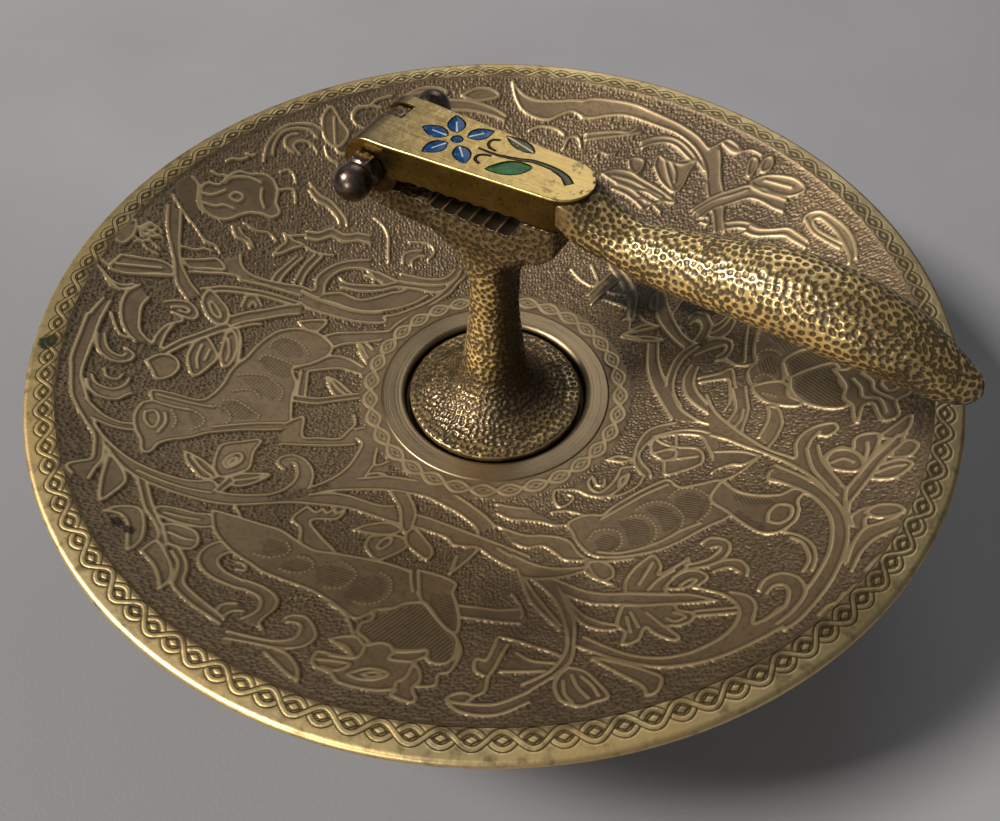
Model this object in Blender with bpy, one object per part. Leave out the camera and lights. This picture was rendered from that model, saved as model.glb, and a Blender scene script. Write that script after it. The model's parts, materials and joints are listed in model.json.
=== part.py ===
"""Nutcracker bowl: a footed brass dish with a lever nutcracker standing in its middle.

Metres, +Z up. The origin is on the table, on the axis that the dish, its foot and the post share.
The lever's handle points along +X, its hinge axis lies along Y, and the lever is modelled shut.
"""
import bpy
import bmesh
from math import acos, atan2, cos, pi, sin, sqrt
from mathutils import Matrix, Vector

# Gaps and joins
TOUCH = 0.0003
OVERRUN = 0.002
WELD = 0.000001

# Sheet brass of the dish and its foot
SHEET = 0.0012

# Dish
DISH_RADIUS = 0.125
RIM_HEIGHT = 0.0618
RIM_BEAD = 0.0012
BORDER_WIDTH = 0.0068
BORDER_LIFT = 0.0009
BOWL_DEPTH = 0.0307
BOWL_CURVE_SHARE = 1.6
SEAT_WIDTH = 0.0053
WELL_RADIUS = 0.0269
WELL_DEPTH = 0.003
WELL_SHOULDER = 0.0018
WELL_CORNER = 0.0006

# Pedestal foot
FOOT_RADIUS = 0.051
FOOT_NECK_RADIUS = 0.0205
FOOT_CORNER = 0.0015
FOOT_HEM_WIDTH = 0.003
FOOT_HEM_HEIGHT = 0.0018
FOOT_FLARE_SHARE = 2.6

# Fastening under the post
STUD_RADIUS = 0.003
STUD_HOLD = 0.012
STUD_END = 0.002
WASHER_RADIUS = 0.009
WASHER_THICKNESS = 0.0012
SPRING_WASHER_BAND = 0.0022
SPRING_WASHER_THICKNESS = 0.0016
SPRING_WASHER_SLIT = 0.0012
NUT_FLATS = 0.010
NUT_THICKNESS = 0.005

# Post: foot disc, column, lower jaw and hinge tongue, one casting
DISC_RADIUS = 0.0255
DISC_EDGE = 0.0019
DISC_ROUND = 0.0005
COLUMN_RADIUS = 0.00695
POST_HEIGHT = 0.0776
JAW_WIDTH = 0.016
JAW_FRONT = 0.0212
JAW_BACK = 0.0352
JAW_DEPTH = 0.029
MOUTH_DEPTH = 0.0053
MOUTH_FRONT = 0.0095
MOUTH_RAMP = 0.0025
LOWER_GROOVES = 6
GROOVE_PITCH = 0.0039
LOWER_GROOVE_RADIUS = 0.0026
TONGUE_WIDTH = 0.0052
TONGUE_OFFSET = 0.0038

# Hinge
PIVOT_BACK = 0.0287
PIVOT_LIFT = 0.0021
PIN_RADIUS = 0.002
PIN_CHAMFER = 0.0004
COLLAR_FLATS = 0.0071
COLLAR_LENGTH = 0.0043
BALL_RADIUS = 0.0047
BALL_REACH = 0.007
CAP_HOLE_DEPTH = 0.0085

# Lever: fork, grooved upper jaw block and handle, one casting
LUG_RADIUS = 0.0076
TONGUE_SETBACK = 0.0004
SLOT_CLEARANCE = 0.0004
SLOT_END_CLEARANCE = 0.0006
BLOCK_LENGTH = 0.055
BLOCK_WIDTH = 0.0208
NOSE_WIDTH = 0.0158
UPPER_GROOVES = 8
UPPER_GROOVE_RADIUS = 0.0034
UPPER_GROOVES_START = 0.0095
HANDLE_LENGTH = 0.1010
HANDLE_WIDTH = 0.0206
HANDLE_THICKNESS = 0.0188
HANDLE_DIP = 0.0083

# Enamel in the top of the block
ENAMEL_DEPTH = 0.0006

# How finely round work is divided
DISH_STEPS = 56
FOOT_STEPS = 40
POST_STEPS = 32
SMALL_STEPS = 20
BOWL_STEPS = 8
HANDLE_SIDES = 24

# Radius as a share of the foot disc's radius, height as a share of the column's height
FLARE_SHARES = (
    (0.84, 0.058), (0.69, 0.095), (0.56, 0.147), (0.45, 0.208), (0.381, 0.29),
)
# Radius as a share of the column's waist, height as a share of the column's height
COLUMN_SHARES = (
    (1.27, 0.38), (1.19, 0.47), (1.12, 0.55), (1.05, 0.63), (1.0, 0.71),
    (0.98, 0.78), (0.99, 0.86), (1.0, 0.94),
)
# Side view of the jaw: reach as a share of its front or back, drop as a share of its depth
JAW_FRONT_SHARES = ((1.0, 0.275), (0.79, 0.42))
JAW_BACK_SHARES = ((0.52, 0.455), (0.70, 0.43), (0.88, 0.395))
HEEL_SHARES = ((0.965, 0.36), (1.0, 0.315), (1.0, 0.26), (0.96, 0.225), (0.85, 0.205), (0.66, 0.165))
# Where the column spreads into the jaw: drop as a share of the jaw's depth, reach to the back and
# to the front and half width as shares of the jaw's, and how round the section is, 1 for an oval
NECK_SHARES = (
    (1.0, 0.197, 0.33, 0.87, 1.0), (0.87, 0.215, 0.345, 0.89, 1.0), (0.76, 0.25, 0.385, 0.92, 0.85),
    (0.67, 0.295, 0.45, 0.94, 0.7), (0.59, 0.35, 0.53, 0.96, 0.5), (0.53, 0.41, 0.61, 0.98, 0.4),
    (0.48, 0.475, 0.69, 0.99, 0.33), (0.44, 0.56, 0.77, 1.0, 0.28),
)
# Handle: station, height of its middle, half width, half thickness, as shares of its own sizes,
# and how round the section is, 1 for an oval
HANDLE_SHARES = (
    (0.0, 0.35, 0.745, 0.46, 0.35), (0.031, 0.34, 0.74, 0.47, 0.4), (0.058, 0.14, 0.725, 0.60, 0.55),
    (0.083, -0.04, 0.70, 0.67, 0.7), (0.135, -0.30, 0.64, 0.65, 0.9), (0.187, -0.49, 0.62, 0.63, 1.0),
    (0.26, -0.51, 0.70, 0.73, 1.0), (0.343, -0.42, 0.79, 0.80, 1.0), (0.447, -0.24, 0.89, 0.90, 1.0),
    (0.55, -0.11, 0.97, 0.97, 1.0), (0.654, -0.16, 1.0, 1.0, 1.0), (0.758, -0.28, 0.93, 0.93, 1.0),
    (0.81, -0.40, 0.865, 0.86, 1.0), (0.862, -0.58, 0.77, 0.765, 1.0),
    (0.914, -0.80, 0.63, 0.65, 1.0), (0.955, -0.93, 0.485, 0.50, 1.0),
    (0.986, -0.99, 0.29, 0.32, 1.0),
)
# Enamel: places along the block as shares of its length, across it as shares of its half width
FLOWER_PLACE_SHARE = (0.335, 0.06)
PETAL_SHARES = ((50, 0.45), (125, 0.46), (177, 0.475), (240, 0.45), (313, 0.46))
PETAL_BASE_SHARE = 0.13
PETAL_WIDTH_SHARE = 0.22
CENTRE_SHARE = 0.075
LOWER_LEAF_SHARES = ((0.712, 0.02), (0.545, -0.56), 0.24)
UPPER_LEAF_SHARES = ((0.672, 0.50), (0.51, 0.74), 0.17)
STEM_SHARES = (
    (0.512, 0.01, 0.020), (0.56, 0.03, 0.028), (0.64, 0.12, 0.040), (0.70, 0.22, 0.048),
    (0.79, 0.21, 0.065), (0.857, 0.10, 0.085), (0.90, -0.09, 0.10),
)
UPPER_CURL_SHARES = (
    (0.540, 0.20, 0.020), (0.515, 0.26, 0.022), (0.490, 0.38, 0.024), (0.462, 0.38, 0.026),
)
LOWER_CURL_SHARES = (
    (0.500, -0.10, 0.020), (0.468, -0.13, 0.022), (0.450, -0.25, 0.024), (0.470, -0.37, 0.026),
)

# Heights and radii worked out from the sizes above
seat_top = RIM_HEIGHT - BOWL_DEPTH + BORDER_LIFT
well_floor = seat_top - WELL_DEPTH
shoulder_radius = WELL_RADIUS + WELL_SHOULDER
seat_radius = shoulder_radius + SEAT_WIDTH
border_inner = DISH_RADIUS - RIM_BEAD - BORDER_WIDTH
border_top = RIM_HEIGHT + BORDER_LIFT
foot_top = well_floor - SHEET - TOUCH
stud_hole = STUD_RADIUS + TOUCH
washer_top = foot_top - SHEET - TOUCH
spring_top = washer_top - WASHER_THICKNESS - TOUCH
nut_top = spring_top - SPRING_WASHER_THICKNESS - TOUCH
post_bottom = well_floor + TOUCH
land = post_bottom + POST_HEIGHT
pivot_height = land + PIVOT_LIFT
pin_hole = PIN_RADIUS + TOUCH
tongue_radius = LUG_RADIUS - TONGUE_SETBACK
slot_radius = tongue_radius + SLOT_END_CLEARANCE
slot_width = TONGUE_WIDTH + SLOT_CLEARANCE + SLOT_CLEARANCE
block_underside = TOUCH - PIVOT_LIFT
nose_start = BLOCK_LENGTH - NOSE_WIDTH / 2
nut_seat = BLOCK_WIDTH / 2 + TOUCH


def clear_scene():
    """Remove every object of the opened scene."""
    for thing in list(bpy.data.objects):
        bpy.data.objects.remove(thing, do_unlink=True)


def finish_material(name, colour, roughness, metallic):
    """A Principled material with one colour, roughness and metallic value."""
    material = bpy.data.materials.new(name)
    material.use_nodes = True
    shader = material.node_tree.nodes["Principled BSDF"]
    shader.inputs["Base Color"].default_value = (*colour, 1.0)
    shader.inputs["Roughness"].default_value = roughness
    shader.inputs["Metallic"].default_value = metallic
    return material


def place(name, shape, material=None, parent=None, location=(0, 0, 0), rotation=None):
    """Turn a bmesh into a named object with its faces pointing out and round work shaded smooth."""
    bmesh.ops.remove_doubles(shape, verts=shape.verts, dist=WELD)
    bmesh.ops.recalc_face_normals(shape, faces=shape.faces)
    mesh = bpy.data.meshes.new(name)
    shape.to_mesh(mesh)
    shape.free()
    mesh.shade_smooth()
    mesh.set_sharp_from_angle(angle=pi / 6)
    thing = bpy.data.objects.new(name, mesh)
    bpy.context.scene.collection.objects.link(thing)
    thing.location = location
    if rotation is not None:
        thing.rotation_euler = rotation
    if material is not None:
        mesh.materials.append(material)
    if parent is not None:
        thing.parent = parent
    return thing


def as_cutter(thing):
    """Mark an object as a construction shape that is not part of the model."""
    thing.hide_render = True
    thing.display_type = 'WIRE'
    return thing


def combine(target, other, operation):
    """Join another shape to the target, or cut it away, with an exact Boolean."""
    step = target.modifiers.new(other.name, 'BOOLEAN')
    step.object = other
    step.operation = operation
    step.solver = 'EXACT'
    as_cutter(other)


def turned(profile, steps, closed=True):
    """Spin a profile of (radius, height) points round the Z axis."""
    shape = bmesh.new()
    points = [shape.verts.new((radius, 0, height)) for radius, height in profile]
    edges = [shape.edges.new(pair) for pair in zip(points, points[1:])]
    if closed:
        edges.append(shape.edges.new((points[-1], points[0])))
    bmesh.ops.spin(shape, geom=points + edges, cent=(0, 0, 0), axis=(0, 0, 1),
                   angle=2 * pi, steps=steps, use_duplicate=False)
    return shape


def prism(outline, low, high, across=False):
    """Extrude a flat outline from low to high, along Z, or along Y when it is drawn across."""
    shape = bmesh.new()
    if across:
        base = [shape.verts.new((x, low, z)) for x, z in outline]
        travel = (0, high - low, 0)
    else:
        base = [shape.verts.new((x, y, low)) for x, y in outline]
        travel = (0, 0, high - low)
    face = shape.faces.new(base)
    grown = bmesh.ops.extrude_face_region(shape, geom=[face])["geom"]
    moved = [item for item in grown if isinstance(item, bmesh.types.BMVert)]
    bmesh.ops.translate(shape, vec=travel, verts=moved)
    return shape


def rod(radius, low, high, steps=SMALL_STEPS, sides=None):
    """A round or many-sided bar along Z."""
    shape = bmesh.new()
    middle = Matrix.Translation((0, 0, (low + high) / 2))
    bmesh.ops.create_cone(shape, cap_ends=True, segments=sides or steps, radius1=radius,
                          radius2=radius, depth=high - low, matrix=middle)
    return shape


def arc(centre, radius, start, end, steps):
    """Points of a circular arc between two angles, both ends included."""
    turn = (end - start) / steps
    return [(centre[0] + radius * cos(start + turn * n), centre[1] + radius * sin(start + turn * n))
            for n in range(steps + 1)]


def offset_line(points, distance):
    """Shift a line of points to its right-hand side, keeping the distance at its corners."""
    shifted = []
    for n, point in enumerate(points):
        before = Vector(points[max(n - 1, 0)])
        after = Vector(points[min(n + 1, len(points) - 1)])
        here = Vector(point)
        arriving = (here - before).normalized() if n > 0 else (after - here).normalized()
        leaving = (after - here).normalized() if n < len(points) - 1 else arriving
        middle = (arriving + leaving).normalized()
        side = Vector((middle.y, -middle.x))
        reach = distance / max(middle.dot(arriving), 0.5)
        shifted.append(tuple(here + side * reach))
    return shifted


def quadratic(points, steps):
    """A smooth line through the middles of the given points' runs, with its own first and last."""
    line = [points[0]]
    joints = [tuple((a + b) / 2 for a, b in zip(p, q)) for p, q in zip(points, points[1:])]
    joints = [points[0]] + joints[1:-1] + [points[-1]]
    for start, pull, end in zip(joints, points[1:-1], joints[1:]):
        for n in range(1, steps + 1):
            t = n / steps
            line.append(tuple((1 - t) ** 2 * a + 2 * t * (1 - t) * b + t ** 2 * c
                              for a, b, c in zip(start, pull, end)))
    return line


def bowl_height(radius):
    """Height of the bowl's upper face between the seat and the border."""
    share = (radius - seat_radius) / (border_inner - seat_radius)
    return seat_top + (border_top - seat_top) * share ** BOWL_CURVE_SHARE


def make_dish(brass):
    """Spun dish: well with a rounded shoulder, seat, bowl, flat border and rolled rim."""
    face = [(stud_hole, well_floor)]
    face += arc((WELL_RADIUS - WELL_CORNER, well_floor + WELL_CORNER), WELL_CORNER, -pi / 2, 0, 2)
    face += arc((shoulder_radius, seat_top - WELL_SHOULDER), WELL_SHOULDER, pi, pi / 2, 4)
    for n in range(BOWL_STEPS + 1):
        radius = seat_radius + (border_inner - seat_radius) * n / BOWL_STEPS
        face.append((radius, bowl_height(radius)))
    under = offset_line(face, SHEET)
    bead_middle = (DISH_RADIUS - RIM_BEAD, border_top - RIM_BEAD)
    bead = arc(bead_middle, RIM_BEAD, pi / 2, -pi / 2, 6)
    join = [(DISH_RADIUS - RIM_BEAD - RIM_BEAD, border_top - SHEET)]
    return place("dish", turned(face + bead + join + under[::-1], DISH_STEPS), brass)


def make_foot(brass):
    """Spun trumpet foot: a flat top under the dish's well, flaring down to a hemmed ring."""
    corner = (FOOT_NECK_RADIUS - FOOT_CORNER, foot_top - FOOT_CORNER)
    face = [(stud_hole, foot_top)] + arc(corner, FOOT_CORNER, pi / 2, 0, 3)
    spread = FOOT_RADIUS - FOOT_NECK_RADIUS
    drop = foot_top - FOOT_CORNER - FOOT_HEM_HEIGHT
    hem_share = ((spread - FOOT_HEM_WIDTH) / spread) ** (1 / FOOT_FLARE_SHARE)
    shares = [hem_share * n / 7 for n in range(1, 8)]
    flare = [(FOOT_NECK_RADIUS + spread * t ** FOOT_FLARE_SHARE,
              foot_top - FOOT_CORNER - drop * t) for t in shares]
    under = offset_line(face + flare, SHEET)
    hem = [(FOOT_RADIUS, FOOT_HEM_HEIGHT), (FOOT_RADIUS, 0), (FOOT_RADIUS - FOOT_HEM_WIDTH, 0)]
    profile = face + flare + hem + under[::-1]
    return place("pedestal_foot", turned(profile, FOOT_STEPS), brass)


def make_fastening(steel):
    """Stud in the post, and the washer, spring washer and nut under the foot's top plate."""
    nut_bottom = nut_top - NUT_THICKNESS
    shaft = turned([(0, nut_bottom - STUD_END), (STUD_RADIUS - PIN_CHAMFER, nut_bottom - STUD_END),
                    (STUD_RADIUS, nut_bottom - STUD_END + PIN_CHAMFER),
                    (STUD_RADIUS, post_bottom + STUD_HOLD), (0, post_bottom + STUD_HOLD)],
                   SMALL_STEPS, closed=False)
    place("post_stud", shaft, steel)
    ring = [(stud_hole, washer_top - WASHER_THICKNESS), (WASHER_RADIUS, washer_top - WASHER_THICKNESS),
            (WASHER_RADIUS, washer_top), (stud_hole, washer_top)]
    place("foot_washer", turned(ring, SMALL_STEPS), steel)

    spring_outer = stud_hole + SPRING_WASHER_BAND
    half_slit = SPRING_WASHER_SLIT / 2 / stud_hole
    outline = arc((0, 0), spring_outer, half_slit, 2 * pi - half_slit, SMALL_STEPS)
    outline += arc((0, 0), stud_hole, 2 * pi - half_slit, half_slit, SMALL_STEPS)
    place("spring_washer", prism(outline, spring_top - SPRING_WASHER_THICKNESS, spring_top), steel)

    nut = place("foot_nut", rod(NUT_FLATS / sqrt(3), nut_bottom, nut_top, sides=6), steel)
    hole = place("foot_nut_hole", rod(stud_hole, nut_bottom - OVERRUN, nut_top + OVERRUN))
    combine(nut, hole, 'DIFFERENCE')


def post_profile():
    """Radius and height points of the foot disc's flare and the column, up into the jaw."""
    height = POST_HEIGHT - JAW_DEPTH + OVERRUN
    profile = [(0, post_bottom), (DISC_RADIUS, post_bottom), (DISC_RADIUS, post_bottom + DISC_EDGE)]
    profile += [(DISC_RADIUS - DISC_ROUND, post_bottom + DISC_EDGE + DISC_ROUND)]
    profile += [(DISC_RADIUS * r, post_bottom + height * z) for r, z in FLARE_SHARES]
    profile += [(COLUMN_RADIUS * r, post_bottom + height * z) for r, z in COLUMN_SHARES]
    top = profile[-1][0]
    return profile + [(top, land - JAW_DEPTH), (0, land - JAW_DEPTH)]


def oval(half_width, half_height, roundness, sides):
    """Points of an oval, squarer as its roundness falls from 1."""
    points = []
    for n in range(sides):
        angle = 2 * pi * n / sides
        across, up = cos(angle), sin(angle)
        points.append((half_width * abs(across) ** roundness * (1 if across > 0 else -1),
                       half_height * abs(up) ** roundness * (1 if up > 0 else -1)))
    return points


def skin(rings, tip=None):
    """Faces from ring to ring, with flat ends, or a last point in place of the far end."""
    shape = bmesh.new()
    loops = [[shape.verts.new(point) for point in ring] for ring in rings]
    for near, far in zip(loops, loops[1:]):
        for n in range(len(near)):
            m = (n + 1) % len(near)
            shape.faces.new((near[n], near[m], far[m], far[n]))
    shape.faces.new(loops[0])
    if tip is None:
        shape.faces.new(loops[-1])
    else:
        end = shape.verts.new(tip)
        for n in range(len(loops[-1])):
            shape.faces.new((loops[-1][n], loops[-1][(n + 1) % len(loops[-1])], end))
    return shape


def neck_shape():
    """The column's top spreading into the jaw, from round to nearly square."""
    rings = []
    for drop, back, front, width, roundness in NECK_SHARES:
        reach = (JAW_FRONT * front + JAW_BACK * back) / 2
        middle = JAW_FRONT * front - reach
        section = oval(reach, JAW_WIDTH / 2 * width, roundness, POST_STEPS)
        rings.append([(middle + x, y, land - JAW_DEPTH * drop) for x, y in section])
    return skin(rings)


def scallops(start, pitch, count, radius, level, side):
    """Outline points of a row of round grooves, their ridges at the given level."""
    half = pitch / 2
    depth_to_middle = sqrt(radius ** 2 - half ** 2)
    spread = acos(depth_to_middle / radius)
    points = []
    for n in range(count):
        middle = start + pitch * n + half
        for k in range(4):
            angle = spread * (k / 2 - 1)
            lift = radius * cos(angle) - depth_to_middle
            points.append((middle + radius * sin(angle), level - side * lift))
    points.append((start + pitch * count, level))
    return points


def jaw_outline():
    """Side view of the lower jaw: land, grooved mouth, heel under the hinge and the underside."""
    floor = land - MOUTH_DEPTH
    mouth_back = MOUTH_FRONT - GROOVE_PITCH * LOWER_GROOVES
    grooves = scallops(mouth_back, GROOVE_PITCH, LOWER_GROOVES, LOWER_GROOVE_RADIUS, floor, 1)
    heel = [(-JAW_BACK * x, land - JAW_DEPTH * z) for x, z in HEEL_SHARES]
    front = [(JAW_FRONT * x, land - JAW_DEPTH * z) for x, z in JAW_FRONT_SHARES]
    back = [(-JAW_BACK * x, land - JAW_DEPTH * z) for x, z in JAW_BACK_SHARES]
    return heel + grooves + [(MOUTH_FRONT + MOUTH_RAMP, land), (JAW_FRONT, land)] + front + back


def make_post(brass):
    """Cast post with the lower jaw and the hinge tongue joined to the turned column."""
    post = place("post", turned(post_profile(), POST_STEPS, closed=False), brass)
    half = JAW_WIDTH / 2
    combine(post, place("post_neck_form", neck_shape()), 'UNION')
    jaw = place("post_jaw_form", prism(jaw_outline(), -half, half, across=True))
    combine(post, jaw, 'UNION')
    round_end = arc((-PIVOT_BACK, pivot_height), tongue_radius, 0, pi, 12)
    root = land - JAW_DEPTH * HEEL_SHARES[2][1]
    outline = [(-PIVOT_BACK + tongue_radius, root)] + round_end + [(-PIVOT_BACK - tongue_radius, root)]
    low = TONGUE_OFFSET - TONGUE_WIDTH / 2
    tongue = place("post_tongue_form", prism(outline, low, low + TONGUE_WIDTH, across=True))
    combine(post, tongue, 'UNION')
    bore = place("post_pin_bore", rod(pin_hole, -half - OVERRUN, half + OVERRUN),
                 location=(-PIVOT_BACK, 0, pivot_height), rotation=(pi / 2, 0, 0))
    combine(post, bore, 'DIFFERENCE')
    thread = place("post_stud_bore", rod(stud_hole, post_bottom - OVERRUN,
                                         post_bottom + STUD_HOLD + TOUCH))
    combine(post, thread, 'DIFFERENCE')
    return post


def block_side_outline():
    """Side view of fork and block: round lug, flat top, and the grooved underside."""
    lug_angle = atan2(block_underside, sqrt(LUG_RADIUS ** 2 - block_underside ** 2))
    lug = arc((0, 0), LUG_RADIUS, pi / 2, 2 * pi + lug_angle, 20)
    grooves = scallops(UPPER_GROOVES_START, GROOVE_PITCH, UPPER_GROOVES, UPPER_GROOVE_RADIUS,
                       block_underside, -1)
    nose = BLOCK_LENGTH + OVERRUN
    return lug + grooves + [(nose, block_underside), (nose, LUG_RADIUS)]


def block_plan_outline():
    """Plan of the block: straight cheeks at the hinge, a taper, and a half-round nose."""
    half = BLOCK_WIDTH / 2
    nose = arc((nose_start, 0), NOSE_WIDTH / 2, -pi / 2, pi / 2, 14)
    back = -LUG_RADIUS - OVERRUN
    flat = COLLAR_FLATS / sqrt(3) + TOUCH
    return [(back, -half), (flat, -half)] + nose + [(flat, half), (back, half)]


def handle_shape():
    """Loft oval rings along the handle and close it with a rounded tip."""
    start = BLOCK_LENGTH - NOSE_WIDTH * 0.5
    rings = []
    for station, height, width, thickness, roundness in HANDLE_SHARES:
        section = oval(HANDLE_WIDTH / 2 * width, HANDLE_THICKNESS / 2 * thickness, roundness,
                       HANDLE_SIDES)
        rings.append([(start + HANDLE_LENGTH * station, y, HANDLE_DIP * height + z)
                      for y, z in section])
    return skin(rings, (start + HANDLE_LENGTH, 0, -HANDLE_DIP))


def on_block(along_share, across_share):
    """A point on the block's top from its share of the length and of the half width."""
    return Vector((BLOCK_LENGTH * along_share, BLOCK_WIDTH / 2 * across_share))


def leaf_outline(base, tip, width, gap):
    """Pointed oval between two points, grown all round by a gap."""
    along = (tip - base).normalized()
    side = Vector((-along.y, along.x))
    start = base - along * gap
    length = (tip - base).length + gap + gap
    steps = 8
    right = []
    left = []
    for n in range(1, steps):
        t = n / steps
        swell = sin(pi * t ** 0.85) ** 0.8
        half = (width / 2 + gap) * swell
        right.append(tuple(start + along * length * t - side * half))
        left.append(tuple(start + along * length * t + side * half))
    return [tuple(start)] + right + [tuple(start + along * length)] + left[::-1]


def ribbon_outline(shares, gap):
    """Outline of a line that widens along its way, grown all round by a gap."""
    points = [(*on_block(x, y), BLOCK_WIDTH * w) for x, y, w in shares]
    line = quadratic(points, 4)
    first = (Vector(line[1][:2]) - Vector(line[0][:2])).normalized() * gap
    last = (Vector(line[-1][:2]) - Vector(line[-2][:2])).normalized() * gap
    line[0] = (line[0][0] - first.x, line[0][1] - first.y, line[0][2])
    line[-1] = (line[-1][0] + last.x, line[-1][1] + last.y, line[-1][2])
    right = []
    left = []
    for n, (x, y, width) in enumerate(line):
        before = Vector(line[max(n - 1, 0)][:2])
        after = Vector(line[min(n + 1, len(line) - 1)][:2])
        along = (after - before).normalized()
        side = Vector((-along.y, along.x)) * (width / 2 + gap)
        right.append((x - side.x, y - side.y))
        left.append((x + side.x, y + side.y))
    return right + left[::-1]


def inlay_outlines(gap):
    """Name, material key and outline of every enamel piece, grown by a gap."""
    flower = on_block(*FLOWER_PLACE_SHARE)
    pieces = []
    for n, (degrees, reach) in enumerate(PETAL_SHARES):
        ray = Vector((cos(degrees * pi / 180), sin(degrees * pi / 180)))
        base = flower + ray * BLOCK_WIDTH * PETAL_BASE_SHARE
        tip = flower + ray * BLOCK_WIDTH * reach
        outline = leaf_outline(base, tip, BLOCK_WIDTH * PETAL_WIDTH_SHARE, gap)
        pieces.append(("petal_%d" % (n + 1), "blue", outline))
    middle = arc(tuple(flower), BLOCK_WIDTH * CENTRE_SHARE + gap, 0, 2 * pi, 12)[:-1]
    pieces.append(("flower_centre", "blue", middle))
    for name, key, (base, tip, width) in (("leaf_lower", "green", LOWER_LEAF_SHARES),
                                          ("leaf_upper", "dark", UPPER_LEAF_SHARES)):
        outline = leaf_outline(on_block(*base), on_block(*tip), BLOCK_WIDTH * width, gap)
        pieces.append((name, key, outline))
    pieces.append(("flower_stem", "dark", ribbon_outline(STEM_SHARES, gap)))
    pieces.append(("tendril_upper", "dark", ribbon_outline(UPPER_CURL_SHARES, gap)))
    pieces.append(("tendril_lower", "dark", ribbon_outline(LOWER_CURL_SHARES, gap)))
    return pieces


def make_lever(brass, hinge):
    """Cast lever: the block cut to its plan, with the handle, the slot, the bore and the cells."""
    reach = BLOCK_WIDTH / 2 + OVERRUN
    lever = place("lever", prism(block_side_outline(), -reach, reach, across=True), brass, hinge)
    plan = place("lever_plan_form", prism(block_plan_outline(), -LUG_RADIUS - OVERRUN,
                                          LUG_RADIUS + OVERRUN), None, hinge)
    combine(lever, plan, 'INTERSECT')
    handle = place("lever_handle_form", handle_shape(), None, hinge)
    combine(lever, handle, 'UNION')
    near = -TONGUE_OFFSET - slot_width / 2
    slot = place("lever_slot", rod(slot_radius, near, near + slot_width, POST_STEPS),
                 None, hinge, rotation=(pi / 2, 0, 0))
    combine(lever, slot, 'DIFFERENCE')
    bore = place("lever_pin_bore", rod(pin_hole, -reach, reach), None, hinge,
                 rotation=(pi / 2, 0, 0))
    combine(lever, bore, 'DIFFERENCE')
    cell_floor = LUG_RADIUS - ENAMEL_DEPTH - TOUCH
    for name, _, outline in inlay_outlines(TOUCH):
        cell = place(name + "_cell", prism(outline, cell_floor, LUG_RADIUS + OVERRUN), None, hinge)
        combine(lever, cell, 'DIFFERENCE')
    return lever


def make_enamel(colours, hinge):
    """Enamel pieces, level with the block's top, each in its own cell."""
    for name, key, outline in inlay_outlines(0):
        place(name, prism(outline, LUG_RADIUS - ENAMEL_DEPTH, LUG_RADIUS), colours[key], hinge)


def make_pin(steel, hinge):
    """Hinge pin through cheeks and tongue into both ball nuts."""
    end = nut_seat + CAP_HOLE_DEPTH - TOUCH
    neck = PIN_RADIUS - PIN_CHAMFER
    profile = [(0, -end), (neck, -end), (PIN_RADIUS, -end + PIN_CHAMFER),
               (PIN_RADIUS, end - PIN_CHAMFER), (neck, end), (0, end)]
    pin = turned(profile, SMALL_STEPS, closed=False)
    place("hinge_pin", pin, steel, hinge, rotation=(pi / 2, 0, 0))


def make_ball_nut(name, side, bronze, hinge):
    """Round-headed cap nut with a six-sided collar; side is -1 in front and 1 behind."""
    turn = (pi / 2 if side < 0 else -pi / 2, 0, 0)
    seat = (0, side * nut_seat, 0)
    start = -acos(COLLAR_FLATS / 2 / BALL_RADIUS)
    neck = COLLAR_FLATS / 2
    ball = arc((0, BALL_REACH), BALL_RADIUS, start, pi / 2, 10)[:-1] + [(0, BALL_REACH + BALL_RADIUS)]
    profile = [(0, COLLAR_LENGTH / 2), (neck - PIN_CHAMFER, COLLAR_LENGTH / 2)] + ball
    nut = place(name, turned(profile, SMALL_STEPS, closed=False), bronze, hinge, seat, turn)
    collar = rod(COLLAR_FLATS / sqrt(3), 0, COLLAR_LENGTH, sides=6)
    bmesh.ops.rotate(collar, verts=collar.verts, matrix=Matrix.Rotation(pi / 6, 3, 'Z'))
    combine(nut, place(name + "_collar_form", collar, None, hinge, seat, turn), 'UNION')
    hole = rod(pin_hole, -OVERRUN, CAP_HOLE_DEPTH)
    combine(nut, place(name + "_hole", hole, None, hinge, seat, turn), 'DIFFERENCE')


clear_scene()
dish_brass = finish_material("dish_brass", (0.30, 0.22, 0.11), 0.42, 0.9)
foot_brass = finish_material("foot_brass", (0.42, 0.31, 0.13), 0.35, 1.0)
post_brass = finish_material("post_brass", (0.33, 0.23, 0.10), 0.38, 1.0)
lever_brass = finish_material("lever_brass", (0.50, 0.37, 0.15), 0.35, 1.0)
nut_bronze = finish_material("nut_bronze", (0.07, 0.045, 0.03), 0.3, 1.0)
steel_finish = finish_material("steel", (0.45, 0.45, 0.45), 0.35, 1.0)
enamels = {
    "blue": finish_material("enamel_blue", (0.012, 0.075, 0.28), 0.2, 0.0),
    "green": finish_material("enamel_green", (0.03, 0.12, 0.045), 0.2, 0.0),
    "dark": finish_material("enamel_dark", (0.05, 0.055, 0.035), 0.35, 0.0),
}

lever_hinge = bpy.data.objects.new("lever_hinge", None)
lever_hinge.location = (-PIVOT_BACK, 0, pivot_height)
bpy.context.scene.collection.objects.link(lever_hinge)

make_dish(dish_brass)
make_foot(foot_brass)
make_fastening(steel_finish)
make_post(post_brass)
make_lever(lever_brass, lever_hinge)
make_enamel(enamels, lever_hinge)
make_pin(steel_finish, lever_hinge)
make_ball_nut("ball_nut_front", -1, nut_bronze, lever_hinge)
make_ball_nut("ball_nut_back", 1, nut_bronze, lever_hinge)
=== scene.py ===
"""Looks of the nutcracker bowl: a chased brass dish on a spun foot, with a hammered post and lever.

Metres, +Z up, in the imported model's own frame. The lever points along +X and its hinge lies along Y.
"""
import json
from math import cos, pi, radians, sin, sqrt

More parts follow.
